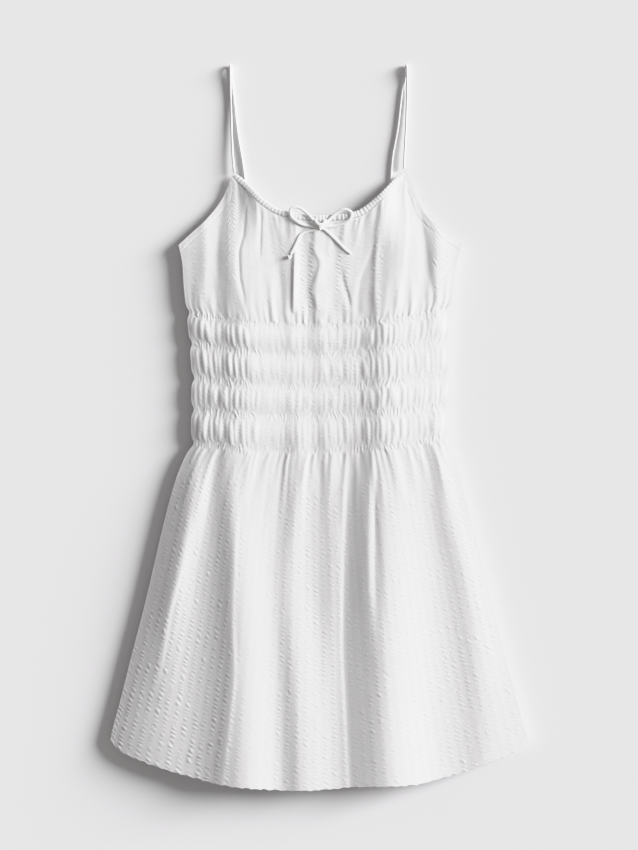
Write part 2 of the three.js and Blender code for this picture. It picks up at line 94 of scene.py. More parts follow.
def smooth_table(keys: Sequence[float], values: Sequence[float], at: Array) -> Array:
    """Read a smooth curve through the rows of a short table.

    Args:
        keys: the rows' keys, rising.
        values: the value at each key.
        at: where to read it; past the ends the end values hold.

    Returns:
        The values there.
    """
    keys = np.asarray(keys, float)
    values = np.asarray(values, float)
    at = np.clip(np.asarray(at, float), keys[0], keys[-1])
    spans = np.diff(keys)
    slopes = np.diff(values) / spans
    before, after = slopes[:-1], slopes[1:]
    total = np.where(before * after > 0, before + after, 1.0)
    tangents = np.concatenate(
        ([slopes[0]], np.where(before * after > 0, 2 * before * after / total, 0.0), [slopes[-1]])
    )
    index = np.clip(np.searchsorted(keys, at, side="right") - 1, 0, len(keys) - 2)
    t = (at - keys[index]) / spans[index]
    ease = t * t * (3 - 2 * t)
    bend = spans[index] * t * (1 - t) * ((1 - t) * tangents[index] - t * tangents[index + 1])
    return values[index] * (1 - ease) + values[index + 1] * ease + bend


def smoothstep(low: float, high: float, value: Array) -> Array:
    """Ease from 0 at low to 1 at high."""
    t = np.clip((np.asarray(value, float) - low) / (high - low), 0, 1)
    return t * t * (3 - 2 * t)


def hump(away: Array, width: float) -> Array:
    """A soft ridge, 1 in its middle and near 0 two widths away."""
    return np.exp(-((away / width) ** 2))


def wander(at: Array, spacing: float, seed: int) -> Array:
    """A smooth random curve from -1 to 1.

    Args:
        at: places along the curve, in any unit.
        spacing: distance between its turning points, in the same unit.
        seed: which curve.

    Returns:
        The curve's value at each place.
    """
    count, first = 512, 200
    knots = np.random.default_rng(seed).uniform(-1, 1, count)
    place = np.asarray(at, float) / spacing + first
    index = np.clip(np.floor(place).astype(int), 0, count - 2)
    t = place - index
    ease = t * t * (3 - 2 * t)
    return knots[index] * (1 - ease) + knots[index + 1] * ease


def row_wander(row: Array, at: Array, spacing: float, seed: int) -> Array:
    """A smooth random curve of its own for each numbered row, from -1 to 1.

    Args:
        row: the row's number at each place.
        at: places along the row.
        spacing: distance between the curve's turning points.
        seed: which family of curves.

    Returns:
        The row's curve at each place.
    """
    lines, count, first = 128, 160, 40
    knots = np.random.default_rng(seed).uniform(-1, 1, (lines, count))
    place = np.clip(np.asarray(at, float) / spacing + first, 0, count - 2)
    index = np.floor(place).astype(int)
    t = place - index
    ease = t * t * (3 - 2 * t)
    line = np.mod(row, lines)
    return knots[line, index] * (1 - ease) + knots[line, index + 1] * ease


@dataclass(frozen=True)
class Outline:
    """Outline of the laid dress, in short tables from the left to the right or from the hem up."""

    side_y: tuple = (
        -398, -384, -343, -293, -243, -193, -143, -93, -62, -43, -20, 18, 60, 105, 150, 176, 201, 226,
    )
    left_x: tuple = (
        -262.8, -260.5, -249.7, -237.2, -224.1, -211.8, -200.3, -187.8, -178.4, -170.6, -161, -161, -160.5,
        -163.5, -167.5, -170.3, -171.8, -176.6,
    )
    right_x: tuple = (
        262.8, 258, 246.6, 233.4, 220.9, 208.4, 195.9, 182.6, 175, 169.7, 162, 160.5, 161.5, 163, 165.8,
        167.4, 171, 177.6,
    )
    hem_x: tuple = (-262.8, -252, -219.7, -159.7, -99.7, -20, 50, 110, 170, 217.8, 249.9, 262.8)
    hem_y: tuple = (-392, -405, -419.7, -438.4, -450, -454.7, -450, -448, -435.3, -418.5, -405.3, -398)
    neck_x: tuple = (-106.6, -93.8, -67.2, -51, -30, -2, 25, 45, 67.8, 93.7, 105.2)
    neck_y: tuple = (318, 306.4, 280.9, 271, 265.5, 262.8, 264.2, 268, 283.4, 309.4, 322.8)
    left_armhole_x: tuple = (-176.6, -159.1, -145.4, -132.2, -123.8, -117.2)
    left_armhole_y: tuple = (226, 242.4, 254.7, 269.7, 281.7, 293.9)
    right_armhole_x: tuple = (119, 124.7, 131.6, 143.7, 157.3, 177.6)
    right_armhole_y: tuple = (293, 277.7, 265.4, 251.9, 240, 226)
    scallop_depth: float = 1.1
    scallop_width: float = 12.2
    scallop_corner: float = 6.0
    foot_points: int = 41

    def hem(self, x: Array) -> Array:
        """Height of the skirt's lower edge up the dress."""
        return smooth_table(self.hem_x, self.hem_y, x)

    def scalloped_hem(self, x: Array) -> Array:
        """The same edge, drawn up a little by the puckered stripes.

        Args:
            x: places across the dress.

        Returns:
            The edge's height up the dress at each place.
        """
        corner = self.scallop_corner
        inside = smoothstep(0, corner, x - self.hem_x[0]) * smoothstep(0, corner, self.hem_x[-1] - x)
        shift = 1.3 * wander(x, spacing=30.0, seed=93)
        bays = self.scallop_depth * np.abs(np.sin(np.pi * x / self.scallop_width + shift))
        uneven = 0.5 * wander(x, spacing=5.0, seed=91) + 0.3 * wander(x, spacing=2.7, seed=92)
        return self.hem(x) + inside * (bays + uneven)

    def neckline(self, x: Array) -> Array:
        """Height of the neckline's upper edge up the dress."""
        return smooth_table(self.neck_x, self.neck_y, x)

    def inside_neckline(self, x: Array, depth: Array) -> tuple[Array, Array]:
        """Points a given way inside the neckline, measured square to it.

        Args:
            x: places along the neckline, by how far across they are.
            depth: how far inside it to go.

        Returns:
            The points' places across and up the dress.
        """
        step = 0.5
        slope = (self.neckline(x + step) - self.neckline(x - step)) / (2 * step)
        length = np.hypot(1, slope)
        return x + depth * slope / length, self.neckline(x) - depth / length

    def channel_foot(self) -> tuple[Array, Array]:
        """The line under the neckline channel, from the left peak to the right.

        Returns:
            Its points' places across and up the dress.
        """
        first, last = self.neck_x[0] + CHANNEL_INSET, self.neck_x[-1] - CHANNEL_INSET
        across = np.linspace(first, last, self.foot_points)
        return self.inside_neckline(across, CHANNEL_WIDTH + 2 * GAP)

    def bodice_top(self, x: Array) -> Array:
        """Upper edge of the front bodice: armhole, foot of the channel, armhole.

        Args:
            x: places across the dress.

        Returns:
            The edge's height up the dress at each place.
        """
        foot_x, foot_y = self.channel_foot()
        left_x, left_y = (*self.left_armhole_x, foot_x[0]), (*self.left_armhole_y, foot_y[0])
        right_x, right_y = (foot_x[-1], *self.right_armhole_x), (foot_y[-1], *self.right_armhole_y)
        left = smooth_table(left_x, left_y, x)
        right = smooth_table(right_x, right_y, x)
        under = smooth_table(foot_x, foot_y, x)
        return np.where(x <= foot_x[0], left, np.where(x >= foot_x[-1], right, under))


@dataclass(frozen=True)
class ElasticRows:
    """The five elastic rows that gather the waist, and the puffs of cloth between them."""

    left: tuple = (141, 103.5, 60, 21, -21.5)
    middle: tuple = (125, 88.5, 49.5, 12, -33)
    right: tuple = (146, 109.5, 63.5, 27, -14)
    half_width: float = 163.0
    gathers: int = 49
    shared_jitter: float = 0.34
    own_jitter: float = 0.3
    seed: int = 41
    strength_x: tuple = (-163, -150, -100, -84, -68, -40, 0, 40, 56, 80, 110, 163)
    strengths: tuple = (0.8, 1.15, 1.15, 0.55, 0.2, 0.35, 0.4, 0.45, 0.9, 0.95, 0.6, 0.55)
    tick_height: float = 0.44
    tick_pitch: float = 3.6
    tick_reach: float = 4.4
    tick_lean: float = 0.5
    tick_shift: float = 1.7
    tick_uneven_reach: float = 0.35
    tick_uneven_height: float = 0.6
    tick_seed: int = 131
    tick_draws: int = 256
    pinch_reach: float = 0.16

    def strength(self, x: Array) -> Array:
        """How deep the gathers are across the dress, as it lies."""
        return smooth_table(self.strength_x, self.strengths, x)

    def ticks(self, row: Array, x: Array, away: Array) -> Array:
        """Short upright ticks of cloth that the stitching draws up along each row.

        Args:
            row: which elastic row each point is near.
            x: place across the dress.
            away: distance from the row.

        Returns:
            Their height, about nothing on the whole.
        """
        lean = self.tick_lean * row_wander(row, x, spacing=7.0, seed=37) * away
        place = (x + lean) / self.tick_pitch + row_wander(row, x, spacing=8.0, seed=31)
        number = np.floor(place).astype(int)
        draw = np.random.default_rng(self.tick_seed).uniform(-1, 1, (3, LAST_ROW + 1, self.tick_draws))
        shift, longer, taller = draw[:, np.asarray(row), np.mod(number, self.tick_draws)]
        reach = self.tick_reach * (1 + self.tick_uneven_reach * longer)
        window = np.exp(-np.abs((away - self.tick_shift * shift) / reach) ** 3)
        size = self.tick_height * np.sqrt(self.strength(x)) * (1 + self.tick_uneven_height * taller)
        mean = 0.5 * self.tick_height * hump(away, self.tick_reach)
        return size * np.sin(np.pi * (place - number)) ** 2 * window - mean

    def height(self, row: int, x: Array) -> Array:
        """Height of one elastic row up the dress.

        Args:
            row: the row's number.
            x: places across the dress.

        Returns:
            The row's height at each place.
        """
        share = x / self.half_width
        tilt = (self.right[row] - self.left[row]) / 2
        sag = (self.left[row] + self.right[row]) / 2 - self.middle[row]
        return self.middle[row] + tilt * share + sag * share * share

    def place(self, x: Array, y: Array) -> Array:
        """Which band points lie in: 0 on the first row, 4 on the last, and on beyond them.

        Args:
            x: the points' places across the dress.
            y: their places up it.

        Returns:
            The row's number at each point, with its share of the way to the next.
        """
        heights = [self.height(row, x) for row in range(LAST_ROW + 1)]
        found = (heights[0] - y) / (heights[0] - heights[1])
        for band in range(1, LAST_ROW):
            inside = band + (heights[band] - y) / (heights[band] - heights[band + 1])
            found = np.where(y < heights[band], inside, found)
        below = LAST_ROW + (heights[-1] - y) / (heights[-2] - heights[-1])
        return np.where(y < heights[-1], below, found)

    def puff(self, x: Array, y: Array) -> Array:
        """0 on an elastic row and 1 in the middle of a band."""
        place = self.place(x, y)
        return np.where((place > 0) & (place < LAST_ROW), np.sin(np.pi * place) ** 2, 0.0)

    def pinch(self, x: Array, y: Array) -> Array:
        """1 on an elastic row and 0 a little way from it."""
        place = self.place(x, y)
        return hump(place - np.clip(np.round(place), 0, LAST_ROW), self.pinch_reach)

    def gather_points(self, row: int) -> Array:
        """Where the folds of cloth part on one row.

        Args:
            row: the row's number.

        Returns:
            Their places, as shares of the width from the left seam.
        """
        shared = np.random.default_rng(self.seed).uniform(-1, 1, self.gathers + 1)
        own = np.random.default_rng(self.seed + 1 + row).uniform(-1, 1, self.gathers + 1)
        points = np.arange(self.gathers + 1) + self.shared_jitter * shared + self.own_jitter * own
        points[0], points[-1] = 0, self.gathers
        return points / self.gathers


@dataclass(frozen=True)
class Fold:
    """One fold of the front, from the neck down: its crest, its rise and the widths of its flanks.

    A flank that is as wide all along is one number.
    """

    y: tuple
    crest: tuple
    rise: tuple
    left: tuple | float
    right: tuple | float

    def height(self, x: Array, y: Array) -> Array:
        """How much the fold lifts the cloth.

        Args:
            x: the points' places across the dress.
            y: their places up it.

        Returns:
            The lift at each point, less than nothing in a trough.
        """
        key = tuple(-station for station in self.y)
        crest, rise, left, right = (
            smooth_table(key, table if isinstance(table, tuple) else (table,) * len(key), -y)
            for table in (self.crest, self.rise, self.left, self.right)
        )
        away = x - crest
        return rise * hump(away, np.where(away < 0, left, right))


NECK_TO_HEM = (300, 212, 140, 50, -27, -93, -193, -293, -393, -455)

FOLDS = (
    # The narrow fold at the left side
    Fold(
        NECK_TO_HEM,
        crest=(-146, -143, -148, -150, -150, -158, -178, -190, -192, -188),
        rise=(0.5, 1.2, 1.3, 0.6, 1.4, 3.2, 3, 1.2, 0.4, 0),
        left=(10, 10, 12, 14, 14, 14, 17, 22, 28, 28),
        right=(10, 9, 10, 14, 14, 14, 16, 20, 24, 24),
    ),
    # The large left fold
    Fold(
        NECK_TO_HEM,
        crest=(-104, -109, -98, -94, -104, -108, -102, -98, -97, -97),
        rise=(1.5, 3.6, 4.4, 3.6, 3.8, 4.8, 7.5, 9, 9.5, 9.5),
        left=(13, 15, 22, 30, 24, 18, 26, 34, 41, 42),
        right=(30, 44, 48, 48, 42, 36, 38, 42, 42, 42),
    ),
    # The fold left of the middle
    Fold(
        NECK_TO_HEM,
        crest=(-33, -36, -34, -29, -27, -30, -36, -30, -24, -22),
        rise=(1, 1.2, 1, 0.4, 1.8, 2, 2.5, 4.3, 5.3, 5.3),
        left=(14, 12, 12, 14, 14, 11, 18, 18, 20, 20),
        right=(14, 11, 12, 14, 14, 12, 18, 28, 35, 36),
    ),
    # The low fold in the middle
    Fold(
        NECK_TO_HEM,
        crest=(-2, -2, 0, 4, 8, 18, 15, 12, 10, 10),
        rise=(1, 1.5, 1.4, 0.4, 0.9, 0.8, 0.9, 0.6, 0, 0),
        left=(9, 9, 10, 10, 10, 10, 11, 11, 11, 11),
        right=(12, 12, 12, 12, 12, 12, 14, 14, 14, 14),
    ),
    # The short fold under the bow's right loop
    Fold(
        NECK_TO_HEM,
        crest=(32, 32, 33, 36, 38, 38, 38, 38, 38, 38),
        rise=(0.8, 0.5, 0.3, 0.2, 0, 0, 0, 0, 0, 0),
        left=9,
        right=16,
    ),
    # The large right fold
    Fold(
        NECK_TO_HEM,
        crest=(84, 92, 82, 80, 78, 80, 82, 85, 89, 93),
        rise=(1.5, 3, 3.8, 3.8, 4.2, 6.2, 8.5, 10, 10.5, 10.5),
        left=(14, 24, 20, 20, 22, 27, 32, 36, 40, 42),
        right=(30, 34, 46, 50, 46, 44, 48, 52, 52, 52),
    ),
    # The narrow fold at the right side
    Fold(
        NECK_TO_HEM,
        crest=(140, 147, 148, 152, 152, 156, 182, 198, 206, 206),
        rise=(0.8, 2, 1.6, 0.4, 1.5, 1.7, 1.8, 1.8, 1.3, 1.3),
        left=(12, 10, 12, 14, 14, 14, 20, 22, 22, 22),
        right=(16, 14, 14, 18, 18, 18, 24, 26, 26, 26),
    ),
)

CREASES = (
    # Bodice: the long crease on the left
    Fold(
        (300, 278, 239, 215, 188, 163, 142),
        crest=(-90, -92, -95.5, -101, -100, -95.5, -93),
        rise=(0, -0.4, -0.65, -0.7, -0.65, -0.55, 0),
        left=(4, 3, 3, 3, 3, 3, 3),
        right=2.2,
    ),
    # Bodice: the short crease beside it
    Fold(
        (272, 262, 240, 222, 205),
        crest=(-74, -73.5, -74, -74.5, -75),
        rise=(0, -0.6, -0.7, -0.5, 0),
        left=3.5,
        right=1.8,
    ),
    # Bodice: the crease down from the left armhole
    Fold(
        (315, 300, 253, 206, 170, 145),
        crest=(-113, -117, -124, -128, -127, -122),
        rise=(0, -0.5, -0.35, -0.35, -0.35, 0),
        left=(8, 6, 6, 6, 6, 6),
        right=(3.5, 3.5, 4, 4.5, 4.5, 4),
    ),
    # Bodice: the faint crease towards the middle
    Fold(
        (262, 240, 206, 166, 140),
        crest=(-60, -60, -54, -47, -44),
        rise=(0, -0.2, -0.35, -0.5, 0),
        left=6,
        right=(3.5, 4, 5, 5, 4),
    ),
    # Bodice: the winding crest under the bow
    Fold(
        (232, 218, 202, 187, 170, 155, 138),
        crest=(-12, -6, 1, -3, -9, -5, 1),
        rise=(0, 0.55, 0.75, 0.7, 0.75, 0.7, 0),
        left=(3, 3, 3.2, 3.2, 3.2, 3.2, 3.2),
        right=(6, 6, 6, 6, 6.5, 6.5, 6),
    ),
    # Bodice: the short deep crease right of it
    Fold(
        (200, 181, 163, 145),
        crest=(27, 30, 35, 38),
        rise=(0, -0.7, -0.9, 0),
        left=5,
        right=2,
    ),
    # Bodice: the crease that slants in from the right
    Fold(
        (264, 225, 200, 181, 156, 138),
        crest=(80, 68, 58, 51, 47, 46),
        rise=(0, -0.3, -0.4, -0.4, -0.35, 0),
        left=(3, 3, 3, 3.5, 3.5, 3.5),
        right=6,
    ),
    # Bodice: the upright crest that it meets
    Fold(
        (270, 240, 205, 170, 140),
        crest=(74, 72, 70, 69, 68),
        rise=(0, 0.7, 0.9, 0.8, 0),
        left=(3, 3.5, 3.5, 3.5, 3),
        right=4.5,
    ),
    # Bodice: the wide crest on the right
    Fold(
        (318, 300, 260, 217, 163, 140),
        crest=(103, 105, 108, 105, 98, 96),
        rise=(0, 0.55, 0.6, 0.6, 0.55, 0),
        left=(5, 7, 10, 12, 11, 10),
        right=(3, 3.5, 4, 4.5, 4.5, 4.5),
    ),
    # Bodice: the crease down from the right armhole
    Fold(
        (290, 262, 231, 190, 156, 138),
        crest=(122, 126, 131, 136, 143, 146),
        rise=(0, -0.4, -0.7, -0.8, -0.7, 0),
        left=8,
        right=4.5,
    ),
    # Skirt: the pleat under the waist
    Fold(
        (-24, -50, -85, -118, -193, -240, -300),
        crest=(66, 63, 60.5, 59.5, 59, 60, 62),
        rise=(0, 0.8, 1.5, 1.7, 1.6, 0.9, 0),
        left=(8, 11, 14, 16, 17, 18, 18),
        right=(5, 5, 5.5, 6, 7, 9, 10),
    ),
    # Skirt: the crease beside the pleat
    Fold(
        (-27, -62, -118, -193, -260),
        crest=(72, 71, 69, 70, 72),
        rise=(0, -0.6, -0.8, -0.6, 0),
        left=(3, 3, 3, 4, 5),
        right=(6, 6, 7, 8, 9),
    ),
    # Bodice: the sharp crest under the left tail
    Fold(
        (225, 212, 175, 150, 138),
        crest=(-31, -31.5, -32.5, -33, -33),
        rise=(0, 1.6, 2, 1.6, 0),
        left=2.2,
        right=5,
    ),
    # Skirt: the crisp edge near the middle
    Fold(
        (-40, -80, -174, -268, -361, -455),
        crest=(35, 34, 31, 29.5, 33.5, 38),
        rise=(0, -0.5, -0.65, -0.65, -0.55, -0.4),
        left=3,
        right=(8, 8, 9, 9, 9, 9),
    ),
    # Skirt: the crisp edge of the large left fold
    Fold(
        (-60, -143, -237, -299, -361, -455),
        crest=(-104, -105, -109, -107, -112, -123),
        rise=(0, 0.5, 0.7, 0.75, 0.75, 0.6),
        left=(8, 9, 9, 9, 10, 10),
        right=(3.5, 3.5, 3.5, 3.5, 3.5, 4),
    ),
    # Skirt: the crisp edge at the left side
    Fold(
        (-100, -168, -237, -283, -335),
        crest=(-160, -171, -189, -196, -207),
        rise=(0, 0.6, 0.8, 0.7, 0),
        left=(9, 9, 10, 10, 10),
        right=4,
    ),
)


def along_dress(values: Sequence[float], y: Array) -> Array:
    """Read a value given at each station from the neck to the hem."""
    return smooth_table([-station for station in NECK_TO_HEM], values, -np.asarray(y, float))


@dataclass(frozen=True)
class Form:
    """The form of the laid dress: the upper face of its front and the underside of its back."""

    outline: Outline = Outline()
    rows: ElasticRows = ElasticRows()
    plateau_left: tuple = (1, 1.3, 2.6, 3, 3.5, 5.5, 7.5, 10, 12.5, 13)
    plateau_middle: tuple = (1, 2.5, 3.5, 3.5, 3.5, 4.5, 7, 10, 12.5, 13)
    plateau_right: tuple = (1, 1.5, 1.5, 1.5, 1.5, 2, 3, 4, 5.5, 6.5)
    edge_reach: tuple = (14, 16, 20, 22, 16, 14, 18, 26, 38, 44)
    edge_power: float = 1.2
    rounding_reach: float = 1.6
    left_from: tuple = (20, 130)
    right_from: tuple = (40, 150)

    def side(self, side: Side, y: Array) -> Array:
        """Where a side seam lies, drawn in by the elastic rows.

        Args:
            side: which seam.
            y: places up the dress.

        Returns:
            The seam's place across the dress at each of them.
        """
        table = self.outline.left_x if side is Side.LEFT else self.outline.right_x
        edge = smooth_table(self.outline.side_y, table, y)
        inward = WAIST_EASE * self.rows.pinch(edge, y)
        return edge + inward if side is Side.LEFT else edge - inward

    def edge_distance(self, x: Array, y: Array) -> Array:
        """How far a point lies in from the nearer side seam."""
        inside = np.minimum(x - self.side(Side.LEFT, y), self.side(Side.RIGHT, y) - x)
        return np.maximum(inside, 0)

    def underside(self, x: Array, y: Array) -> Array:
        """Underside of the back: flat on the surface, curled up along the side seams."""
        curled = SEAM_HEIGHT - WALL - GAP - BACK_WALL
        return curled * (1 - smoothstep(0, BACK_CURL, self.edge_distance(x, y)))

    def plateau(self, x: Array, y: Array) -> Array:
        """How high the cloth lies over the seams' level, apart from its folds.

        Args:
            x: the points' places across the dress.
            y: their places up it.

        Returns:
            The height at each point.
        """
        left = along_dress(self.plateau_left, y)
        middle = along_dress(self.plateau_middle, y)
        right = along_dress(self.plateau_right, y)
        to_left = smoothstep(*self.left_from, -x)
        to_right = smoothstep(*self.right_from, x)
        return middle + (left - middle) * to_left + (right - middle) * to_right

    def top(self, x: Array, y: Array) -> Array:
        """Upper face of the front: folds on a low plateau that falls to the side seams.

        Args:
            x: the points' places across the dress.
            y: their places up it.

        Returns:
            The face's height over the surface at each point.
        """
        inside = self.edge_distance(x, y)
        reach = along_dress(self.edge_reach, y)
        spread = 1 - np.exp(-((inside / reach) ** self.edge_power))
        folds = sum(fold.height(x, y) for fold in FOLDS)
        rounding = np.sin(np.pi / 2 * np.minimum(inside / (reach * self.rounding_reach), 1))
        lift = self.plateau(x, y) * spread
        lift += folds * rounding * (1 - PINCH * self.rows.pinch(x, y))
        lift += PUFF_RISE * self.rows.puff(x, y) * rounding
        fall = smoothstep(*NECK_FALLS_FROM, y) * smoothstep(*NECK_SIDES_FROM, np.abs(x))
        seam = SEAM_HEIGHT - NECK_FALL * fall
        return np.maximum(seam + lift, self.underside(x, y) + BACK_WALL + GAP + WALL)

    def creases(self, x: Array, y: Array) -> Array:
        """The narrow creases, laid over the large folds."""
        return sum(crease.height(x, y) for crease in CREASES)


FORM = Form()


@dataclass(frozen=True)
class Seersucker:
    """The puckered stripes of the cloth."""

    pitch: float = 13.0
    share: float = 0.56
    wave: float = 5.4
    slant: float = 0.45
    depth: float = 0.72
    fullness: float = 0.1
    sway: float = 0.07
    uneven_width: float = 0.16
    slow_drift: float = 3.2
    quick_drift: float = 1.5
    start_step: float = 0.618
    size: float = 0.66
    uneven_size: float = 0.5
    uneven_stretch: float = 0.3

    def puckers(self, across: Array, along: Array, seed: int) -> Array:
        """Height of the puckers.

        Args:
            across: place across the cloth, in millimetres of cloth.
            along: place down the cloth.
            seed: which run of puckers.

        Returns:
            Their height, about nothing on the whole.
        """
        stripe = np.floor(across / self.pitch).astype(int)
        share = across / self.pitch - stripe
        share += self.sway * row_wander(stripe, along, spacing=9.0, seed=seed + 3)
        width = self.share * (1 + self.uneven_width * row_wander(stripe, along, spacing=6.0, seed=seed + 4))
        band = np.where(share < width, np.sin(np.pi * np.clip(share / width, 0, 1)) ** 2, 0)
        drift = self.slow_drift * row_wander(stripe, along, spacing=17.0, seed=seed)
        drift += self.quick_drift * row_wander(stripe, along, spacing=6.3, seed=seed + 5)
        start = 2 * np.pi * np.mod(stripe * self.start_step, 1)
        turn = 2 * np.pi * (along - self.slant * share * self.pitch) / self.wave + drift + start
        size = self.size + self.uneven_size * row_wander(stripe, along, spacing=4.6, seed=seed + 1)
        size *= 1 + self.uneven_stretch * row_wander(stripe // 2, along, spacing=60.0, seed=seed + 2)
        return self.depth * band * size * (0.5 * np.cos(turn) + self.fullness)


CLOTH = Seersucker()


def even_out(height: Array, reach: int) -> Array:
    """Take away each row's mean over some columns, so that folds don't lift the cloth.

    Args:
        height: the folds' height on a grid.
        reach: how many columns to either side the mean is taken over.

    Returns:
        The height without that mean.
    """
    padded = np.pad(height, ((0, 0), (reach + 1, reach)), mode="edge")
    total = np.cumsum(padded, axis=1)
    window = 2 * reach + 1
    return height - (total[:, window:] - total[:, :-window]) / window


@dataclass(frozen=True)
class Gathers:
    """Short folds that run out from an elastic row or a drawn-up edge."""

    depth: float
    shortest: float
    longest: float
    width: float
    seed: int
    short_bias: float = 1.6
    lean: float = 0.09
    uneven_width: tuple = (0.7, 1.35)
    uneven_depth: tuple = (0.3, 1.3)
    spread: float = 0.9
    even_reach: int = 12
    ease: float = 5.0

    def height(self, across: Array, away: Array, centres: Array) -> Array:
        """Height of the gathers.

        Args:
            across: place across, in millimetres at the row.
            away: how far from the row.
            centres: where the gathers' crests leave the row.

        Returns:
            Their height at each point.
        """
        draw = np.random.default_rng(self.seed)
        total = np.zeros_like(across)
        for centre in centres:
            length = self.shortest + (self.longest - self.shortest) * draw.uniform(0, 1) ** self.short_bias
            lean = draw.uniform(-self.lean, self.lean)
            width = self.width * draw.uniform(*self.uneven_width)
            depth = self.depth * draw.uniform(*self.uneven_depth)
            share = np.clip(away / length, 0, 1)
            crest = centre + lean * away
            total += depth * (1 - share) * hump(across - crest, width * (1 + self.spread * share))
        return even_out(total, self.even_reach) * smoothstep(0, self.ease, away)


@dataclass
class Cut:
    """The four edges of a panel, between which its points are worked out."""

    top: Curve
    low: Curve
    left_top: float
    right_top: float
    left_low: float
    right_low: float

    def point(self, u: Array, v: Array) -> tuple[Array, Array]:
        """Points of the panel.

        Args:
            u: shares of the way across it from the left.
            v: shares of the way down it.

        Returns:
            The points' places across and up the dress.
        """
        left_top = FORM.side(Side.LEFT, self.left_top)
        right_top = FORM.side(Side.RIGHT, self.right_top)
        left_low = FORM.side(Side.LEFT, self.left_low)
        right_low = FORM.side(Side.RIGHT, self.right_low)
        top_x = left_top + (right_top - left_top) * u
        low_x = left_low + (right_low - left_low) * u
        left_y = self.left_top + (self.left_low - self.left_top) * v
        right_y = self.right_top + (self.right_low - self.right_top) * v
        left_bulge = FORM.side(Side.LEFT, left_y) - (left_top + (left_low - left_top) * v)
        right_bulge = FORM.side(Side.RIGHT, right_y) - (right_top + (right_low - right_top) * v)
        x = top_x + (low_x - top_x) * v + (1 - u) * left_bulge + u * right_bulge
        top_y, low_y = self.top(top_x), self.low(low_x)
        return x, top_y + (low_y - top_y) * v


def edge_on(side: Side, curve: Curve) -> float:
    """Height at which a curve across the dress meets a side seam."""
    guess = -FORM.rows.half_width if side is Side.LEFT else FORM.rows.half_width
    return float(curve(FORM.side(side, curve(np.array(guess)))))


def cut_between(top: Curve, low: Curve, top_y: float | None = None, low_y: tuple | None = None) -> Cut:
    """A panel's cut between two curves across the dress.

    Args:
        top: its upper edge.
        low: its lower edge.
        top_y: the height of both upper corners, where it is known.
        low_y: the heights of the left and the right lower corner, where they are known.

    Returns:
        The cut, with the other corners where the edges meet the side seams.
    """
    tops = [edge_on(side, top) if top_y is None else top_y for side in Side]
    lows = [edge_on(side, low) for side in Side] if low_y is None else low_y
    return Cut(top, low, left_top=tops[0], right_top=tops[1], left_low=lows[0], right_low=lows[1])


def bodice_low(x: Array) -> Array:
    """Lower edge of the bodices."""
    return FORM.rows.height(0, x) + SEAM_HALF_GAP


def waist_top(x: Array) -> Array:
    """Upper edge of the waists."""
    return FORM.rows.height(0, x) - SEAM_HALF_GAP


def waist_low(x: Array) -> Array:
    """Lower edge of the waists."""
    return FORM.rows.height(LAST_ROW, x) + SEAM_HALF_GAP


def skirt_top(x: Array) -> Array:
    """Upper edge of the skirts."""
    return FORM.rows.height(LAST_ROW, x) - SEAM_HALF_GAP


@dataclass
class ClothGrid:
    """Points of a panel: rows from its top down, columns from its left."""

    x: Array
    y: Array
    u: Array
    across: Array
    along: Array
    length: Array


@dataclass
class MeshData:
    """Vertices in millimetres, faces, and the place of each vertex on the cloth in metres."""

    vertices: Array
    quads: Array
    triangles: Array
    uv: Array


def add_mesh(name: str, data: MeshData, finish: bpy.types.Material) -> bpy.types.Object:
    """Make an object of a mesh and give it its finish.

    Args:
        name: the object's name.
        data: its mesh, in millimetres.
        finish: its material.

    Returns:
        The new object, at the origin.
    """
    faces = [*data.quads.tolist(), *data.triangles.tolist()]
    mesh = bpy.data.meshes.new(name)
    mesh.from_pydata((data.vertices * MM).tolist(), [], faces)
    corners = np.empty(len(mesh.loops), np.int32)
    mesh.loops.foreach_get("vertex_index", corners)
    layer = mesh.uv_layers.new(name="cloth")
    layer.data.foreach_set("uv", data.uv[corners].astype(np.float32).ravel())
    smooth = np.arange(len(faces)) < len(data.quads)
    mesh.polygons.foreach_set("use_smooth", smooth)
    mesh.materials.append(finish)
    mesh.validate()
    mesh.update()
    piece = bpy.data.objects.new(name, mesh)
    bpy.context.scene.collection.objects.link(piece)
    LOG.info("%s: %d triangles", name, 2 * len(data.quads) + len(data.triangles))
    return piece


def seat(piece: bpy.types.Object, slot: str, *nodes: str) -> bpy.types.Object:
    """Let a piece stand for its solids and move with the dress.

    Args:
        piece: the finished piece.
        slot: its finish's slot; not used.
        nodes: the solids that it takes the place of.

    Returns:
        The same piece.
    """
    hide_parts(*nodes)
    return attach(piece, "root")


def least_around(height: Array, reach: int) -> Array:
    """The lowest value near each point of a grid.

    Args:
        height: the grid's values.
        reach: how many points to every side are looked at.

    Returns:
        The lowest value there.
    """
    low = height.copy()
    for axis in (0, 1):
        base = low.copy()
        for shift in range(1, reach + 1):
            for way in (-shift, shift):
                moved = np.roll(base, way, axis)
                edge = [slice(None), slice(None)]
                edge[axis] = slice(0, shift) if way > 0 else slice(-shift, None)
                moved[tuple(edge)] = base[tuple(edge)]
                low = np.minimum(low, moved)
    return low


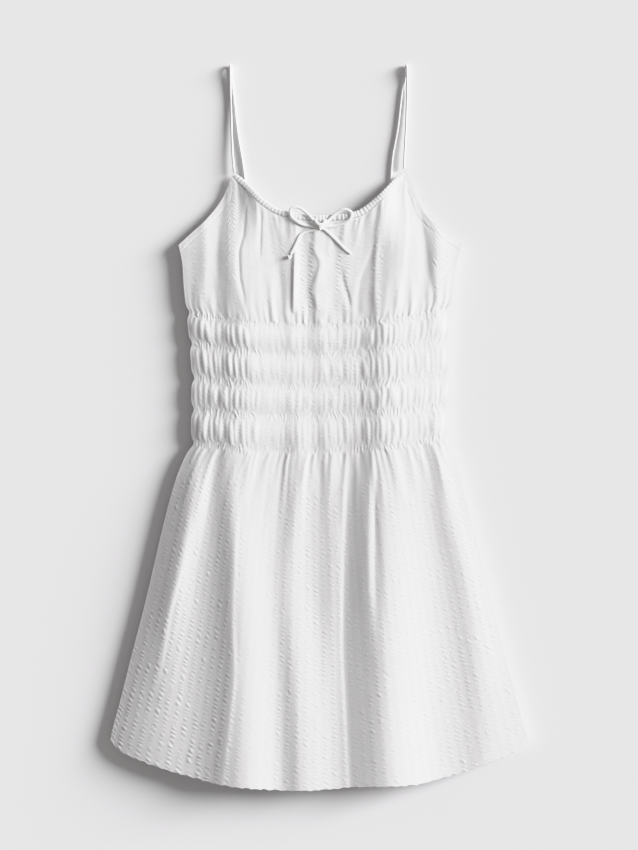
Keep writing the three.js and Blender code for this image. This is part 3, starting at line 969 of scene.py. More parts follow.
@dataclass
class Shell:
    """A closed thin shell: a fine outer face, a coarser inner face and a narrow rim between them."""

    outer: Array
    inner: Array
    uv: Array
    step: int
    outer_is_up: bool

    def rim_loop(self, rows: int, columns: int) -> list[tuple[int, int]]:
        """The grid's border, once round from its top left corner.

        Args:
            rows: how many rows of points the grid has.
            columns: how many columns.

        Returns:
            The row and column of each point.
        """
        loop = [(0, column) for column in range(columns - 1)]
        loop += [(row, columns - 1) for row in range(rows - 1)]
        loop += [(rows - 1, column) for column in range(columns - 1, 0, -1)]
        return loop + [(row, 0) for row in range(rows - 1, 0, -1)]

    def quads(self, rows: int, columns: int, start: int) -> Array:
        """Faces of one layer, seen from above.

        Args:
            rows: how many rows of points the layer has.
            columns: how many columns.
            start: the number of its first point.

        Returns:
            The four corners of each face.
        """
        number = start + np.arange(rows * columns).reshape(rows, columns)
        corners = (number[:-1, :-1], number[1:, :-1], number[1:, 1:], number[:-1, 1:])
        return np.stack([corner.ravel() for corner in corners], axis=1)

    def mesh(self) -> MeshData:
        """Join the two faces and the rim.

        Returns:
            The closed shell.
        """
        rows, columns, _ = self.outer.shape
        low_rows, low_columns, _ = self.inner.shape
        start = rows * columns
        outer = self.quads(rows, columns, 0)
        inner = self.quads(low_rows, low_columns, start)[:, ::-1]
        fine = [row * columns + column for row, column in self.rim_loop(rows, columns)]
        low_loop = self.rim_loop(low_rows, low_columns)
        coarse = [start + row * low_columns + column for row, column in low_loop]
        rim = []
        half = self.step // 2
        for k, here in enumerate(coarse):
            after = coarse[(k + 1) % len(coarse)]
            stretch = [fine[(k * self.step + m) % len(fine)] for m in range(self.step + 1)]
            rim += [(stretch[m], stretch[m + 1], here if m < half else after) for m in range(self.step)]
            rim.append((stretch[half], after, here))
        quads, triangles = np.concatenate((outer, inner)), np.array(rim)
        if not self.outer_is_up:
            quads, triangles = quads[:, ::-1], triangles[:, ::-1]
        vertices = np.concatenate((self.outer.reshape(-1, 3), self.inner.reshape(-1, 3)))
        inner_uv = self.uv[:: self.step, :: self.step]
        uv = np.concatenate((self.uv.reshape(-1, 2), inner_uv.reshape(-1, 2)))
        return MeshData(vertices, quads, triangles, uv)


@dataclass
class Panel:
    """One panel of cloth, from its cut to its finished piece."""

    name: str
    node: str
    cut: Cut
    columns: int
    rows: int
    cloth_width: float
    cloth_length: float
    anchors: tuple = (0.0, 1.0)
    step: int = 4
    samples: int = 480

    def lay_out(self) -> ClothGrid:
        """Place the grid so that the cloth is spread evenly over the folds.

        Returns:
            The grid's points, with their places on the cloth.
        """
        inside = np.linspace(0, 1, self.rows - 1)[1:-1]
        v = np.concatenate(([0, EDGE_LINE], inside, [1 - EDGE_LINE, 1]))[:, None]
        stretches = []
        total = self.anchors[-1] - self.anchors[0]
        done = 0
        for first, last in zip(self.anchors, self.anchors[1:]):
            end = round(self.columns * (last - self.anchors[0]) / total / self.step) * self.step
            fine = np.linspace(first, last, self.samples)[None, :]
            x, y = self.cut.point(fine, v)
            z = FORM.top(x, y) + FORM.creases(x, y)
            lengths = np.sqrt(np.diff(x, axis=1) ** 2 + np.diff(y, axis=1) ** 2 + np.diff(z, axis=1) ** 2)
            run = np.concatenate((np.zeros((len(v), 1)), np.cumsum(lengths, axis=1)), axis=1)
            run /= run[:, -1:]
            shares = np.linspace(0, 1, end - done + 1)
            stretch = np.array([np.interp(shares, line, fine[0]) for line in run])
            stretches.append(stretch if not stretches else stretch[:, 1:])
            done = end
        u = np.concatenate(stretches, axis=1)
        u[:, 1], u[:, -2] = u[:, 0] + EDGE_LINE, u[:, -1] - EDGE_LINE
        x, y = self.cut.point(u, np.broadcast_to(v, u.shape))
        share = np.linspace(0, 1, u.shape[1])
        share[1], share[-2] = EDGE_LINE, 1 - EDGE_LINE
        across = np.broadcast_to(share * self.cloth_width, u.shape)
        length = np.broadcast_to((y[0] - y[-1])[None, :], u.shape)
        return ClothGrid(x, y, u, across, v * length, length)

    def detail(self, grid: ClothGrid) -> Array:
        """Height of the fine detail over the form."""
        raise NotImplementedError

    def edge_mask(self, shape: tuple) -> Array:
        """Mark the border of a grid.

        Args:
            shape: how many rows and columns it has.

        Returns:
            True on the border and False inside it.
        """
        mask = np.zeros(shape, bool)
        mask[0], mask[-1], mask[:, 0], mask[:, -1] = True, True, True, True
        return mask

    def every_step(self) -> tuple[slice, slice]:
        """Picks the coarse grid of the plain face out of the fine one."""
        return slice(None, None, self.step), slice(None, None, self.step)

    def uv(self, grid: ClothGrid) -> Array:
        """Place of each point on the cloth, in metres."""
        along = grid.along * self.cloth_length / grid.length
        return np.stack((grid.across, self.cloth_length - along), axis=2) * MM

    def build(self, finish: bpy.types.Material) -> bpy.types.Object:
        """Make the panel's piece."""
        raise NotImplementedError


class FrontPanel(Panel):
    """A panel of the front: its fine face is its upper one."""

    def build(self, finish: bpy.types.Material) -> bpy.types.Object:
        """Make the panel's piece, with its inner face kept under every fold of the outer one.

        Args:
            finish: the cloth's material.

        Returns:
            The piece.
        """
        grid = self.lay_out()
        top = FORM.top(grid.x, grid.y) + FORM.creases(grid.x, grid.y)
        rounding = smoothstep(0, SEAM_EASE, FORM.edge_distance(grid.x, grid.y))
        z = top + self.detail(grid) * rounding
        floor = FORM.underside(grid.x, grid.y) + BACK_WALL + GAP
        z = np.maximum(z, floor + LEAST_WALL)
        under = np.maximum(least_around(z, self.step) - CLOTH_EDGE, floor)
        edges = self.edge_mask(z.shape)
        under[edges] = np.maximum(z[edges] - CLOTH_EDGE, floor[edges])
        pick = self.every_step()
        outer = np.stack((grid.x, grid.y, z), axis=2)
        inner = np.stack((grid.x[pick], grid.y[pick], under[pick]), axis=2)
        shell = Shell(outer, inner, self.uv(grid), self.step, outer_is_up=True)
        return seat(add_mesh(self.name, shell.mesh(), finish), "seersucker", self.node)


class FrontSkirt(FrontPanel):
    """The flared skirt, gathered into the last elastic row and hemmed."""

    gathers = Gathers(depth=0.85, shortest=22, longest=130, width=2.8, seed=7)
    puckers_start = (0, 8)
    puckers_settle = (4, 60)
    least_settled = 0.3
    fuller_down = (150, 420)
    fuller_to_left = (60, 150)
    fuller = 0.15
    fuller_at_left = 0.65
    drawn_flat = ((-80, 26), (46, 18))
    drawn_share = 0.6
    hem_depth = 9.5
    hem_rise = 0.06
    hem_edge = (1.2, -0.6)
    stitch_depth = 0.07
    stitch_width = 1.1

    def fullness(self, grid: ClothGrid) -> Array:
        """How full the puckers stand.

        Args:
            grid: the panel's points.

        Returns:
            Their share: less under the waist and on two stretches that the folds draw flat, and more
            towards the hem, most of all on its left.
        """
        least = self.least_settled
        settled = least + (1 - least) * smoothstep(*self.puckers_settle, grid.along)
        at_left = self.fuller_at_left * smoothstep(*self.fuller_to_left, -grid.x)
        settled += smoothstep(*self.fuller_down, grid.along) * (self.fuller + at_left)
        flat = sum(self.drawn_share * hump(grid.x - middle, width) for middle, width in self.drawn_flat)
        return settled * (1 - flat)

    def detail(self, grid: ClothGrid) -> Array:
        """Gathers under the elastic, puckered stripes, and the stitched hem.

        Args:
            grid: the panel's points.

        Returns:
            The detail's height at each of them.
        """
        width = FORM.side(Side.RIGHT, self.cut.right_top) - FORM.side(Side.LEFT, self.cut.left_top)
        points = FORM.rows.gather_points(LAST_ROW) * width
        centres = (points[1:] + points[:-1]) / 2
        gathered = self.gathers.height(grid.u * width, grid.along, centres)
        puckers = CLOTH.puckers(grid.across, grid.along, seed=101) * self.fullness(grid)
        to_hem = grid.length - grid.along
        outside, inside = self.hem_edge
        hem = self.hem_rise * smoothstep(self.hem_depth + outside, self.hem_depth + inside, to_hem)
        stitch = -self.stitch_depth * hump(to_hem - self.hem_depth, self.stitch_width)
        drawn = FORM.rows.ticks(np.full(grid.x.shape, LAST_ROW), grid.x, grid.along)
        return gathered + puckers * smoothstep(*self.puckers_start, grid.along) + hem + stitch + drawn


class FrontWaist(FrontPanel):
    """The waist, gathered on five elastic rows into puffs of cloth."""

    puff_height = 0.31
    widths = (2.1, 3.9)
    heights = (0.55, 1.15)
    uneven_end = 0.2
    uneven_crest = 1.2
    tip_width = 0.35
    roundness = 0.7
    fullness = 0.8
    steepness = 2.4
    band_height = 38.0
    pucker_share = 0.3
    seed = 77

    def detail(self, grid: ClothGrid) -> Array:
        """Lens-shaped puffs between the rows, fine ruches on the rows and a little pucker.

        Args:
            grid: the panel's points.

        Returns:
            The detail's height at each of them.
        """
        rows = FORM.rows
        place = np.clip(rows.place(grid.x, grid.y), 0, LAST_ROW - 0.0001)
        band = np.floor(place).astype(int)
        share = place - band
        ease = smoothstep(0, 1, share)
        arch = np.sin(np.pi * share)
        run = grid.u * 2 * rows.half_width
        draw = np.random.default_rng(self.seed)
        puffs = np.zeros_like(place)
        for number in range(LAST_ROW):
            mine = band == number
            tops, lows = rows.gather_points(number), rows.gather_points(number + 1)
            for k in range(rows.gathers):
                top = (tops[k] + tops[k + 1]) * rows.half_width
                low = (lows[k] + lows[k + 1]) * rows.half_width
                half = draw.uniform(*self.widths)
                height = half * draw.uniform(*self.heights)
                bow = draw.uniform(-self.uneven_crest, self.uneven_crest)
                start, end = draw.uniform(0, self.uneven_end), 1 - draw.uniform(0, self.uneven_end)
                crest = top * (1 - ease[mine]) + low * ease[mine] + bow * arch[mine]
                swell = np.sin(np.pi * np.clip((share[mine] - start) / (end - start), 0, 1))
                width = self.tip_width + (1 - self.tip_width) * swell**self.roundness
                away = np.abs(run[mine] - crest) / (half * width)
                puffs[mine] += height * swell**self.fullness * np.exp(-(away**self.steepness))
        nearest = np.round(place)
        from_row = (place - nearest) * self.band_height
        ticks = rows.ticks(nearest.astype(int), grid.x, from_row)
        puckers = self.pucker_share * CLOTH.puckers(grid.across, grid.along, seed=211) * arch
        return self.puff_height * rows.strength(grid.x) * puffs + ticks + puckers


class FrontBodice(FrontPanel):
    """The bodice, gathered into the drawstring channel above and the first elastic row below."""

    waist_gathers = Gathers(depth=1.05, shortest=16, longest=80, width=2.6, seed=23)
    neck_gathers = Gathers(depth=0.85, shortest=16, longest=95, width=3.0, seed=17)
    neck_spacing = 7.6
    neck_inset = 3.0
    neck_jitter = 0.35
    neck_seed = 5
    neck_ends = (-4, 6)
    hem_depth = 6.5
    hem_rise = 0.12
    hem_ease = 0.8
    stitch_depth = 0.14
    stitch_width = 0.9
    pucker_share = 0.7
    puckers_from_waist = (2, 26)
    puckers_from_neck = (6, 40)
    drawn_at_neck = 0.6
    least_shown = 0.4
    puckered = (-152, -113, -16, 28, 72, 147)
    puckered_width = 8.0
    puckered_share = 0.8

    def neck_crests(self) -> Array:
        """Where the gathers' crests leave the channel.

        Returns:
            Their places across the dress.
        """
        foot_x, _ = FORM.outline.channel_foot()
        count = int((foot_x[-1] - foot_x[0]) / self.neck_spacing)
        draw = np.random.default_rng(self.neck_seed).uniform(-self.neck_jitter, self.neck_jitter, count)
        first, last = foot_x[0] + self.neck_inset, foot_x[-1] - self.neck_inset
        return np.linspace(first, last, count) + draw * self.neck_spacing

    def detail(self, grid: ClothGrid) -> Array:
        """Gathers from both drawn-up edges, puckered stripes and the narrow armhole hems.

        Args:
            grid: the panel's points.

        Returns:
            The detail's height at each of them.
        """
        low_width = FORM.side(Side.RIGHT, self.cut.right_low) - FORM.side(Side.LEFT, self.cut.left_low)
        points = FORM.rows.gather_points(0) * low_width
        centres = (points[1:] + points[:-1]) / 2
        to_waist = grid.length - grid.along
        from_waist = self.waist_gathers.height(grid.u * low_width, to_waist, centres)
        top_x = grid.x[0][None, :]
        foot_x, _ = FORM.outline.channel_foot()
        under_neck = smoothstep(*self.neck_ends, np.minimum(top_x - foot_x[0], foot_x[-1] - top_x))
        across = np.broadcast_to(top_x, grid.x.shape)
        from_neck = self.neck_gathers.height(across, grid.along, self.neck_crests()) * under_neck
        slope = np.gradient(FORM.outline.bodice_top(grid.x[0]), grid.x[0])
        depth = grid.along / np.hypot(1, slope)[None, :]
        outside, inside = self.hem_depth + self.hem_ease, self.hem_depth - self.hem_ease
        hem = self.hem_rise * smoothstep(outside, inside, depth)
        stitch = -self.stitch_depth * hump(depth - self.hem_depth, self.stitch_width)
        drawn_up = self.drawn_at_neck * under_neck * (1 - smoothstep(*self.puckers_from_neck, grid.along))
        settled = smoothstep(*self.puckers_from_waist, to_waist) * (1 - drawn_up)
        stripes = sum(hump(grid.x - middle, self.puckered_width) for middle in self.puckered)
        shown = self.pucker_share * (self.least_shown + self.puckered_share * stripes)
        puckers = shown * CLOTH.puckers(grid.across, grid.along, seed=151) * settled
        drawn = FORM.rows.ticks(np.zeros(grid.x.shape, int), grid.x, to_waist)
        return from_waist + from_neck + (hem + stitch) * (1 - under_neck) + puckers + drawn


class BackPanel(Panel):
    """A panel of the back: its fine face is the one that lies on the surface."""

    row_length = 323.0
    row_reach = 0.2
    row_rise = 0.8
    ruche_pitch = 5.8
    ruche_rise = 0.35
    above_waist = (-0.4, 0.0)
    below_waist = (4.0, 4.6)
    pucker_share = 0.55
    pucker_lift = 0.3
    seam_lift = 0.5
    least_cloth = 0.4

    def detail(self, grid: ClothGrid) -> Array:
        """Puckers and shallow gathers, pressed flat by the surface.

        Args:
            grid: the panel's points.

        Returns:
            How far the cloth is off the surface at each of them.
        """
        seed = 301 + len(self.name)
        puckers = CLOTH.puckers(grid.across, grid.along, seed) + self.pucker_lift
        place = FORM.rows.place(grid.x, grid.y)
        nearest = np.clip(np.round(place), 0, LAST_ROW)
        near = hump(place - nearest, self.row_reach)
        in_waist = smoothstep(*self.above_waist, place) * (1 - smoothstep(*self.below_waist, place))
        run = grid.u * self.row_length
        shift = 2.0 * row_wander(nearest.astype(int), run, spacing=9.0, seed=63)
        ruches = self.ruche_rise * (1 + np.sin(2 * np.pi * run / self.ruche_pitch + shift))
        return np.maximum(self.pucker_share * puckers, 0) + in_waist * (ruches + self.row_rise * near)

    def build(self, finish: bpy.types.Material) -> bpy.types.Object:
        """Make the panel's piece, with its plain face inside the dress.

        Args:
            finish: the cloth's material.

        Returns:
            The piece.
        """
        grid = self.lay_out()
        under = FORM.underside(grid.x, grid.y)
        inside = FORM.edge_distance(grid.x, grid.y)
        z = under + self.detail(grid) * smoothstep(0, SEAM_EASE, inside)
        z[:, [0, -1]] += self.seam_lift
        top = under + BACK_WALL
        z = np.minimum(z, top - self.least_cloth)
        pick = self.every_step()
        outer = np.stack((grid.x, grid.y, z), axis=2)
        inner = np.stack((grid.x[pick], grid.y[pick], top[pick]), axis=2)
        shell = Shell(outer, inner, self.uv(grid), self.step, outer_is_up=False)
        return seat(add_mesh(self.name, shell.mesh(), finish), "seersucker", self.node)


def spline(points: Array, count: int) -> Array:
    """A smooth curve through some points.

    Args:
        points: the points that it passes.
        count: how many points to give of the curve.

    Returns:
        Points evenly spaced along it.
    """
    fine = 40
    points = np.asarray(points, float)
    gaps = np.linalg.norm(np.diff(points, axis=0), axis=1) ** 0.5
    knots = np.concatenate(([0], np.cumsum(gaps)))
    before = points[0] * 2 - points[1]
    after = points[-1] * 2 - points[-2]
    whole = np.vstack((before, points, after))
    keys = np.concatenate(([-gaps[0]], knots, [knots[-1] + gaps[-1]]))
    at = np.linspace(0, knots[-1], fine * len(points))
    index = np.clip(np.searchsorted(knots, at, side="right") - 1, 0, len(knots) - 2)
    p = [whole[index + k] for k in range(4)]
    t = [keys[index + k][:, None] for k in range(4)]
    s = at[:, None]
    a1 = (t[1] - s) / (t[1] - t[0]) * p[0] + (s - t[0]) / (t[1] - t[0]) * p[1]
    a2 = (t[2] - s) / (t[2] - t[1]) * p[1] + (s - t[1]) / (t[2] - t[1]) * p[2]
    a3 = (t[3] - s) / (t[3] - t[2]) * p[2] + (s - t[2]) / (t[3] - t[2]) * p[3]
    b1 = (t[2] - s) / (t[2] - t[0]) * a1 + (s - t[0]) / (t[2] - t[0]) * a2
    b2 = (t[3] - s) / (t[3] - t[1]) * a2 + (s - t[1]) / (t[3] - t[1]) * a3
    line = (t[2] - s) / (t[2] - t[1]) * b1 + (s - t[1]) / (t[2] - t[1]) * b2
    run = np.concatenate(([0], np.cumsum(np.linalg.norm(np.diff(line, axis=0), axis=1))))
    even = np.linspace(0, run[-1], count)
    return np.stack([np.interp(even, run, line[:, axis]) for axis in range(3)], axis=1)


@dataclass
class Tube:
    """A tube of cloth or cord along a line, solid or hollow."""

    line: Array
    wide: Array
    thick: Array
    sides: int
    bumps: Callable[[Array, Array], Array] | None = None
    roundness: float = 1.0
    up: tuple = (0.0, 0.0, 1.0)
    wall: float = 0.0
    inner_step: int = 4
    steepest: float = 0.35

    def frames(self) -> tuple[Array, Array]:
        """Work out how the tube's rings are turned.

        Returns:
            At each point of the line, the way across it and the way out of the surface.
        """
        ahead = np.gradient(self.line, axis=0)
        ahead /= np.linalg.norm(ahead, axis=1)[:, None]
        across = np.cross(ahead, np.array(self.up))
        size = np.linalg.norm(across, axis=1)
        for k in range(1, len(across)):
            if size[k] < self.steepest:
                across[k] = across[k - 1] - ahead[k] * np.dot(across[k - 1], ahead[k])
            across[k] /= np.linalg.norm(across[k])
            if np.dot(across[k], across[k - 1]) < 0:
                across[k] = -across[k]
        across[0] /= np.linalg.norm(across[0])
        return across, np.cross(across, ahead)

    def rings(self, across: Array, out: Array, along: Array) -> Array:
        """Rings of points round the line.

        Args:
            across: the way across the line at each point.
            out: the way out of the surface there.
            along: how far along the line each point is.

        Returns:
            A ring of points for each point of the line.
        """
        angle = 2 * np.pi * np.arange(self.sides)[None, :] / self.sides
        lift = self.bumps(along[:, None], angle) if self.bumps else np.zeros((len(along), self.sides))
        flat_x = np.sign(np.cos(angle)) * np.abs(np.cos(angle)) ** self.roundness
        flat_z = np.sign(np.sin(angle)) * np.abs(np.sin(angle)) ** self.roundness
        reach_x = ((self.wide[:, None] + lift) * flat_x)[..., None]
        reach_z = ((self.thick[:, None] + lift) * flat_z)[..., None]
        return self.line[:, None, :] + across[:, None, :] * reach_x + out[:, None, :] * reach_z

    def ring_uv(self, along: Array) -> Array:
        """Places on the cloth of the rings' points.

        Args:
            along: how far along the line each ring is.

        Returns:
            The way round and the way along of every point, in millimetres.
        """
        angle = np.arange(self.sides) / self.sides * 2 * np.pi * self.wide.mean()
        return np.stack(np.broadcast_arrays(angle[None, :], along[:, None]), axis=2).reshape(-1, 2)

    def mesh(self) -> MeshData:
        """Join the rings into a closed mesh, solid or with an inner wall.

        Returns:
            The tube's mesh.
        """
        across, out = self.frames()
        steps = np.linalg.norm(np.diff(self.line, axis=0), axis=1)
        along = np.concatenate(([0], np.cumsum(steps)))
        count = len(self.line)
        number = np.arange(count * self.sides).reshape(count, self.sides)
        vertices = [self.rings(across, out, along).reshape(-1, 3)]
        uv = [self.ring_uv(along)]
        quads = [self.band(number)]
        triangles = []
        if self.wall:
            pick = np.unique(np.append(np.arange(0, count, self.inner_step), count - 1))
            bare = Tube(
                self.line[pick], self.wide[pick] - self.wall, self.thick[pick] - self.wall, self.sides,
                roundness=self.roundness,
            )
            inside = count * self.sides + np.arange(len(pick) * self.sides).reshape(len(pick), self.sides)
            vertices.append(bare.rings(across[pick], out[pick], along[pick]).reshape(-1, 3))
            uv.append(self.ring_uv(along[pick]))
            quads.append(self.band(inside)[:, ::-1])
            quads.append(self.band(np.stack((inside[0], number[0]))))
            quads.append(self.band(np.stack((number[-1], inside[-1]))))
        else:
            for ring, tip, order in ((number[0], self.line[0], -1), (number[-1], self.line[-1], 1)):
                middle = sum(len(block) for block in vertices)
                vertices.append(tip[None, :])
                uv.append(np.array([[0.0, along[0] if order < 0 else along[-1]]]))
                pairs = zip(ring, np.roll(ring, -1))
                triangles += [(a, b, middle)[::order] for a, b in pairs]
        corners = np.array(triangles, int).reshape(-1, 3)
        return MeshData(np.concatenate(vertices), np.concatenate(quads), corners, np.concatenate(uv) * MM)

    def band(self, number: Array) -> Array:
        """Faces between neighbouring rings, pointing out.

        Args:
            number: the points' numbers, ring by ring.

        Returns:
            The four corners of each face.
        """
        after = np.roll(number, -1, axis=1)
        corners = (number[:-1], after[:-1], after[1:], number[1:])
        return np.stack([corner.ravel() for corner in corners], axis=1)


@dataclass
class NeckChannel:
    """The narrow gathered band along the neckline that the drawstring runs in."""

    stations: int = 560
    sides: int = 22
    ruche_pitch: float = 4.4
    ruche_depth: float = 0.16
    small_pitch: float = 1.9
    small_depth: float = 0.04
    wall: float = 0.5
    swell: float = 0.4
    seat: float = 0.75
    roundness: float = 0.62
    cloth_width: float = 16.5
    cloth_length: float = 290.0
    laid_length: float = 235.0
    taper_reach: float = 9.0
    end_size: float = 0.72
    route_points: int = 160
    route_step: int = 4

    def line(self) -> Array:
        """Middle line of the band.

        Returns:
            Points evenly spaced along it.
        """
        outline = FORM.outline
        first, last = outline.neck_x[0] + CHANNEL_INSET, outline.neck_x[-1] - CHANNEL_INSET
        x, y = outline.inside_neckline(np.linspace(first, last, self.route_points), CHANNEL_WIDTH / 2)
        z = FORM.top(x, y) - CHANNEL_THICKNESS / 2 + self.seat
        return spline(np.stack((x, y, z), axis=1)[:: self.route_step], self.stations)

    def ruches(self, along: Array, angle: Array) -> Array:
        """Slanted gathers round the band, uneven in size.

        Args:
            along: how far along the line.
            angle: the way round it.

        Returns:
            Their height.
        """
        slant = 1.1 * np.sin(angle)
        turn = 2 * np.pi * along / self.ruche_pitch + slant + 2.4 * wander(along, spacing=11.0, seed=3)
        size = 0.75 + 0.45 * wander(along, spacing=6.0, seed=4)
        small_turn = 2 * np.pi * along / self.small_pitch + 2 * angle + wander(along, spacing=5.0, seed=6)
        return self.ruche_depth * size * np.sin(turn) + self.small_depth * np.sin(small_turn)

    def build(self, finish: bpy.types.Material) -> bpy.types.Object:
        """Make the band as a hollow tube of cloth.

        Args:
            finish: its material.

        Returns:
            The piece.
        """
        from_end = np.minimum(np.arange(self.stations), np.arange(self.stations)[::-1])
        ends = from_end / self.stations * self.laid_length
        taper = self.end_size + (1 - self.end_size) * smoothstep(0, self.taper_reach, ends)
        wide = (CHANNEL_WIDTH / 2 + self.swell) * taper
        thick = (CHANNEL_THICKNESS / 2 - self.swell) * taper
        tube = Tube(
            self.line(), wide, thick, self.sides, self.ruches, roundness=self.roundness, wall=self.wall,
        )
        piece = seat(add_mesh("neckline_channel", tube.mesh(), finish), "seersucker", "neck_channel")
        return piece


@dataclass
class Strap:
    """A thin turned tube of cloth, up from its peak, over at the top and back under the front.

    Its start and its two runs are in metres.
    """

    side: Side
    start: tuple
    front: tuple
    back: tuple
    clearance: float = 0.35
    turn: float = 1.9
    stations: int = 520
    sides: int = 14
    wall: float = 0.5
    flattened: float = 0.25
    pull_pitch: float = 4.3
    pull_depth: float = 0.09
    seam_height: float = 0.16

    def line(self) -> Array:
        """Middle line of the strap.

        Returns:
            Points evenly spaced along it.
        """
        low = STRAP_DIAMETER / 2 + self.clearance
        front, back = [in_mm(point) for point in self.front], [in_mm(point) for point in self.back]
        start_x, start_y = in_mm(self.start)
        start = float(FORM.top(np.array(start_x), np.array(start_y - CHANNEL_WIDTH))) - WALL / 2
        top_x, top_y, _ = front[-1]
        over = ((top_x + back[0][0]) / 2, top_y + self.turn, low + self.turn)
        points = [(start_x, start_y, start), *front, over, *((x, y, low) for x, y in back)]
        return spline(np.array(points), self.stations)

    def creases(self, along: Array, angle: Array) -> Array:
        """The seam along the tube and the small creases that pull at it.

        Args:
            along: how far along the line.
            angle: the way round it.

        Returns:
            Their height.
        """
        from_seam = np.mod(angle - 0.6 + 0.012 * along, 2 * np.pi) - np.pi
        turn = 2 * np.pi * along / self.pull_pitch + 3 * wander(along, spacing=17.0, seed=8) + angle
        return self.seam_height * hump(from_seam, 0.4) + self.pull_depth * np.sin(turn)

    def build(self, finish: bpy.types.Material) -> bpy.types.Object:
        """Make the strap as a hollow tube.

        Args:
            finish: its material.

        Returns:
            The piece.
        """
        line = self.line()
        radius = np.full(self.stations, STRAP_DIAMETER / 2)
        tube = Tube(
            line, radius, radius - self.flattened, self.sides, self.creases, up=(1.0, 0.0, 0.0),
            wall=self.wall,
        )
        name = f"{self.side.value}_strap"
        piece = seat(add_mesh(name, tube.mesh(), finish), "strap_cotton", f"strap_{self.side.value}")
        return piece


@dataclass
class BowCord:
    """One end of the drawstring: out of the channel, through the knot, round its loop and out as a tail.

    Its route is in metres, and the way out of the channel has heights over the cloth.
    """

    name: str
    nodes: tuple
    exit_way: tuple
    loop: tuple
    tail: tuple
    tip: str
    stations: int = 300
    sides: int = 16
    lift: float = -1.1
    seed: int = 11
    channel_near: tuple = (-10.5, 11.9)
    round_stations: int = 4
    least_round: float = 0.12
    uneven: float = 0.03
    spread: float = 1.05
    pressed: float = 0.4
    seam_height: float = 0.06
    crease_pitch: float = 3.1
    crease_depth: float = 0.05

    def cloth_under(self, x: float, y: float) -> float:
        """The highest cloth near a point.

        Args:
            x: the point's place across the dress, in millimetres.
            y: its place up the dress.

        Returns:
            The highest cloth within the cord's own width, with the channel where the point is near it.
        """
        angle = np.linspace(0, 2 * np.pi, 8, endpoint=False)
        near_x = np.append(x + np.cos(angle) * CORD_DIAMETER, x)
        near_y = np.append(y + np.sin(angle) * CORD_DIAMETER, y)
        highest = float(FORM.top(near_x, near_y).max())
        depth = float(FORM.outline.neckline(np.array(x))) - y
        outside, inside = self.channel_near
        return highest + (CHANNEL_THICKNESS - WALL) / 2 * (outside < depth < inside)

    def line(self) -> Array:
        """Middle line of the cord.

        Returns:
            Points evenly spaced along it.
        """
        over = CORD_DIAMETER / 2 + self.lift
        start = [(x, y, self.cloth_under(x, y) + z) for x, y, z in map(in_mm, self.exit_way)]
        lay = [(x, y, self.cloth_under(x, y) + over) for x, y in map(in_mm, self.loop + self.tail)]
        return spline(np.array(start + lay), self.stations)

    def twist(self, along: Array, angle: Array) -> Array:
        """The seam of the cord's cover and the small creases round its bends.

        Args:
            along: how far along the line.
            angle: the way round it.

        Returns:
            Their height.
        """
        seam = self.seam_height * hump(np.mod(angle + 0.05 * along, 2 * np.pi) - np.pi, 0.5)
        shift = 2 * wander(along, spacing=9.0, seed=self.seed)
        return seam + self.crease_depth * np.sin(2 * np.pi * along / self.crease_pitch + 2 * angle + shift)

    def build(
        self, finish: bpy.types.Material, with_pieces: Sequence[bpy.types.Object],
    ) -> bpy.types.Object:
        """Make the cord.

        Args:
            finish: its material.
            with_pieces: the separate pieces on it; not used.

        Returns:
            The piece.
        """
        line = self.line()
        station = np.arange(self.stations)
        inward = np.minimum(np.minimum(station, station[::-1]) / self.round_stations, 1)
        round_end = np.sqrt(np.clip(1 - (1 - inward) ** 2, self.least_round, 1))
        uneven = 1 + self.uneven * wander(station, spacing=14.0, seed=self.seed)
        radius = CORD_DIAMETER / 2 * round_end * uneven
        tube = Tube(line, radius * self.spread, radius * self.pressed, self.sides, self.twist)
        piece = seat(add_mesh(self.name, tube.mesh(), finish), "drawstring", *self.nodes)
        return piece


@dataclass
class WoundKnot:
    """A knot of wound cord: closed turns of cord about a middle point."""

    name: str
    node: str
    centre: tuple
    turns: tuple
    thickness: float
    stations: int = 72
    sides: int = 14
    waver: float = 0.25

    def build(self, finish: bpy.types.Material) -> bpy.types.Object:
        """Make every turn and join them in one piece.

        Args:
            finish: its material.

        Returns:
            The piece.
        """
        blocks = []
        start = 0
        angle = np.linspace(0, 2 * np.pi, self.stations + 1)
        for radius_x, radius_y, radius_z, yaw, shift in self.turns:
            waver = radius_x * np.sin(2 * angle) * self.waver
            ring = np.stack((waver, radius_y * np.cos(angle), radius_z * np.sin(angle)), axis=1)
            turned = ring.copy()
            turned[:, 0] = ring[:, 0] * math.cos(yaw) - ring[:, 1] * math.sin(yaw) + shift
            turned[:, 1] = ring[:, 0] * math.sin(yaw) + ring[:, 1] * math.cos(yaw)
            line = turned + np.array(self.centre)
            radius = np.full(len(line), self.thickness / 2)
            data = Tube(line, radius, radius, self.sides, up=(1.0, 0.0, 0.0)).mesh()
            blocks.append((data, start))
            start += len(data.vertices)
        mesh = MeshData(
            np.concatenate([data.vertices for data, _ in blocks]),
            np.concatenate([data.quads + first for data, first in blocks]),
            np.concatenate([data.triangles + first for data, first in blocks]),
            np.concatenate([data.uv for data, _ in blocks]),
        )
        return seat(add_mesh(self.name, mesh, finish), "drawstring", self.node)


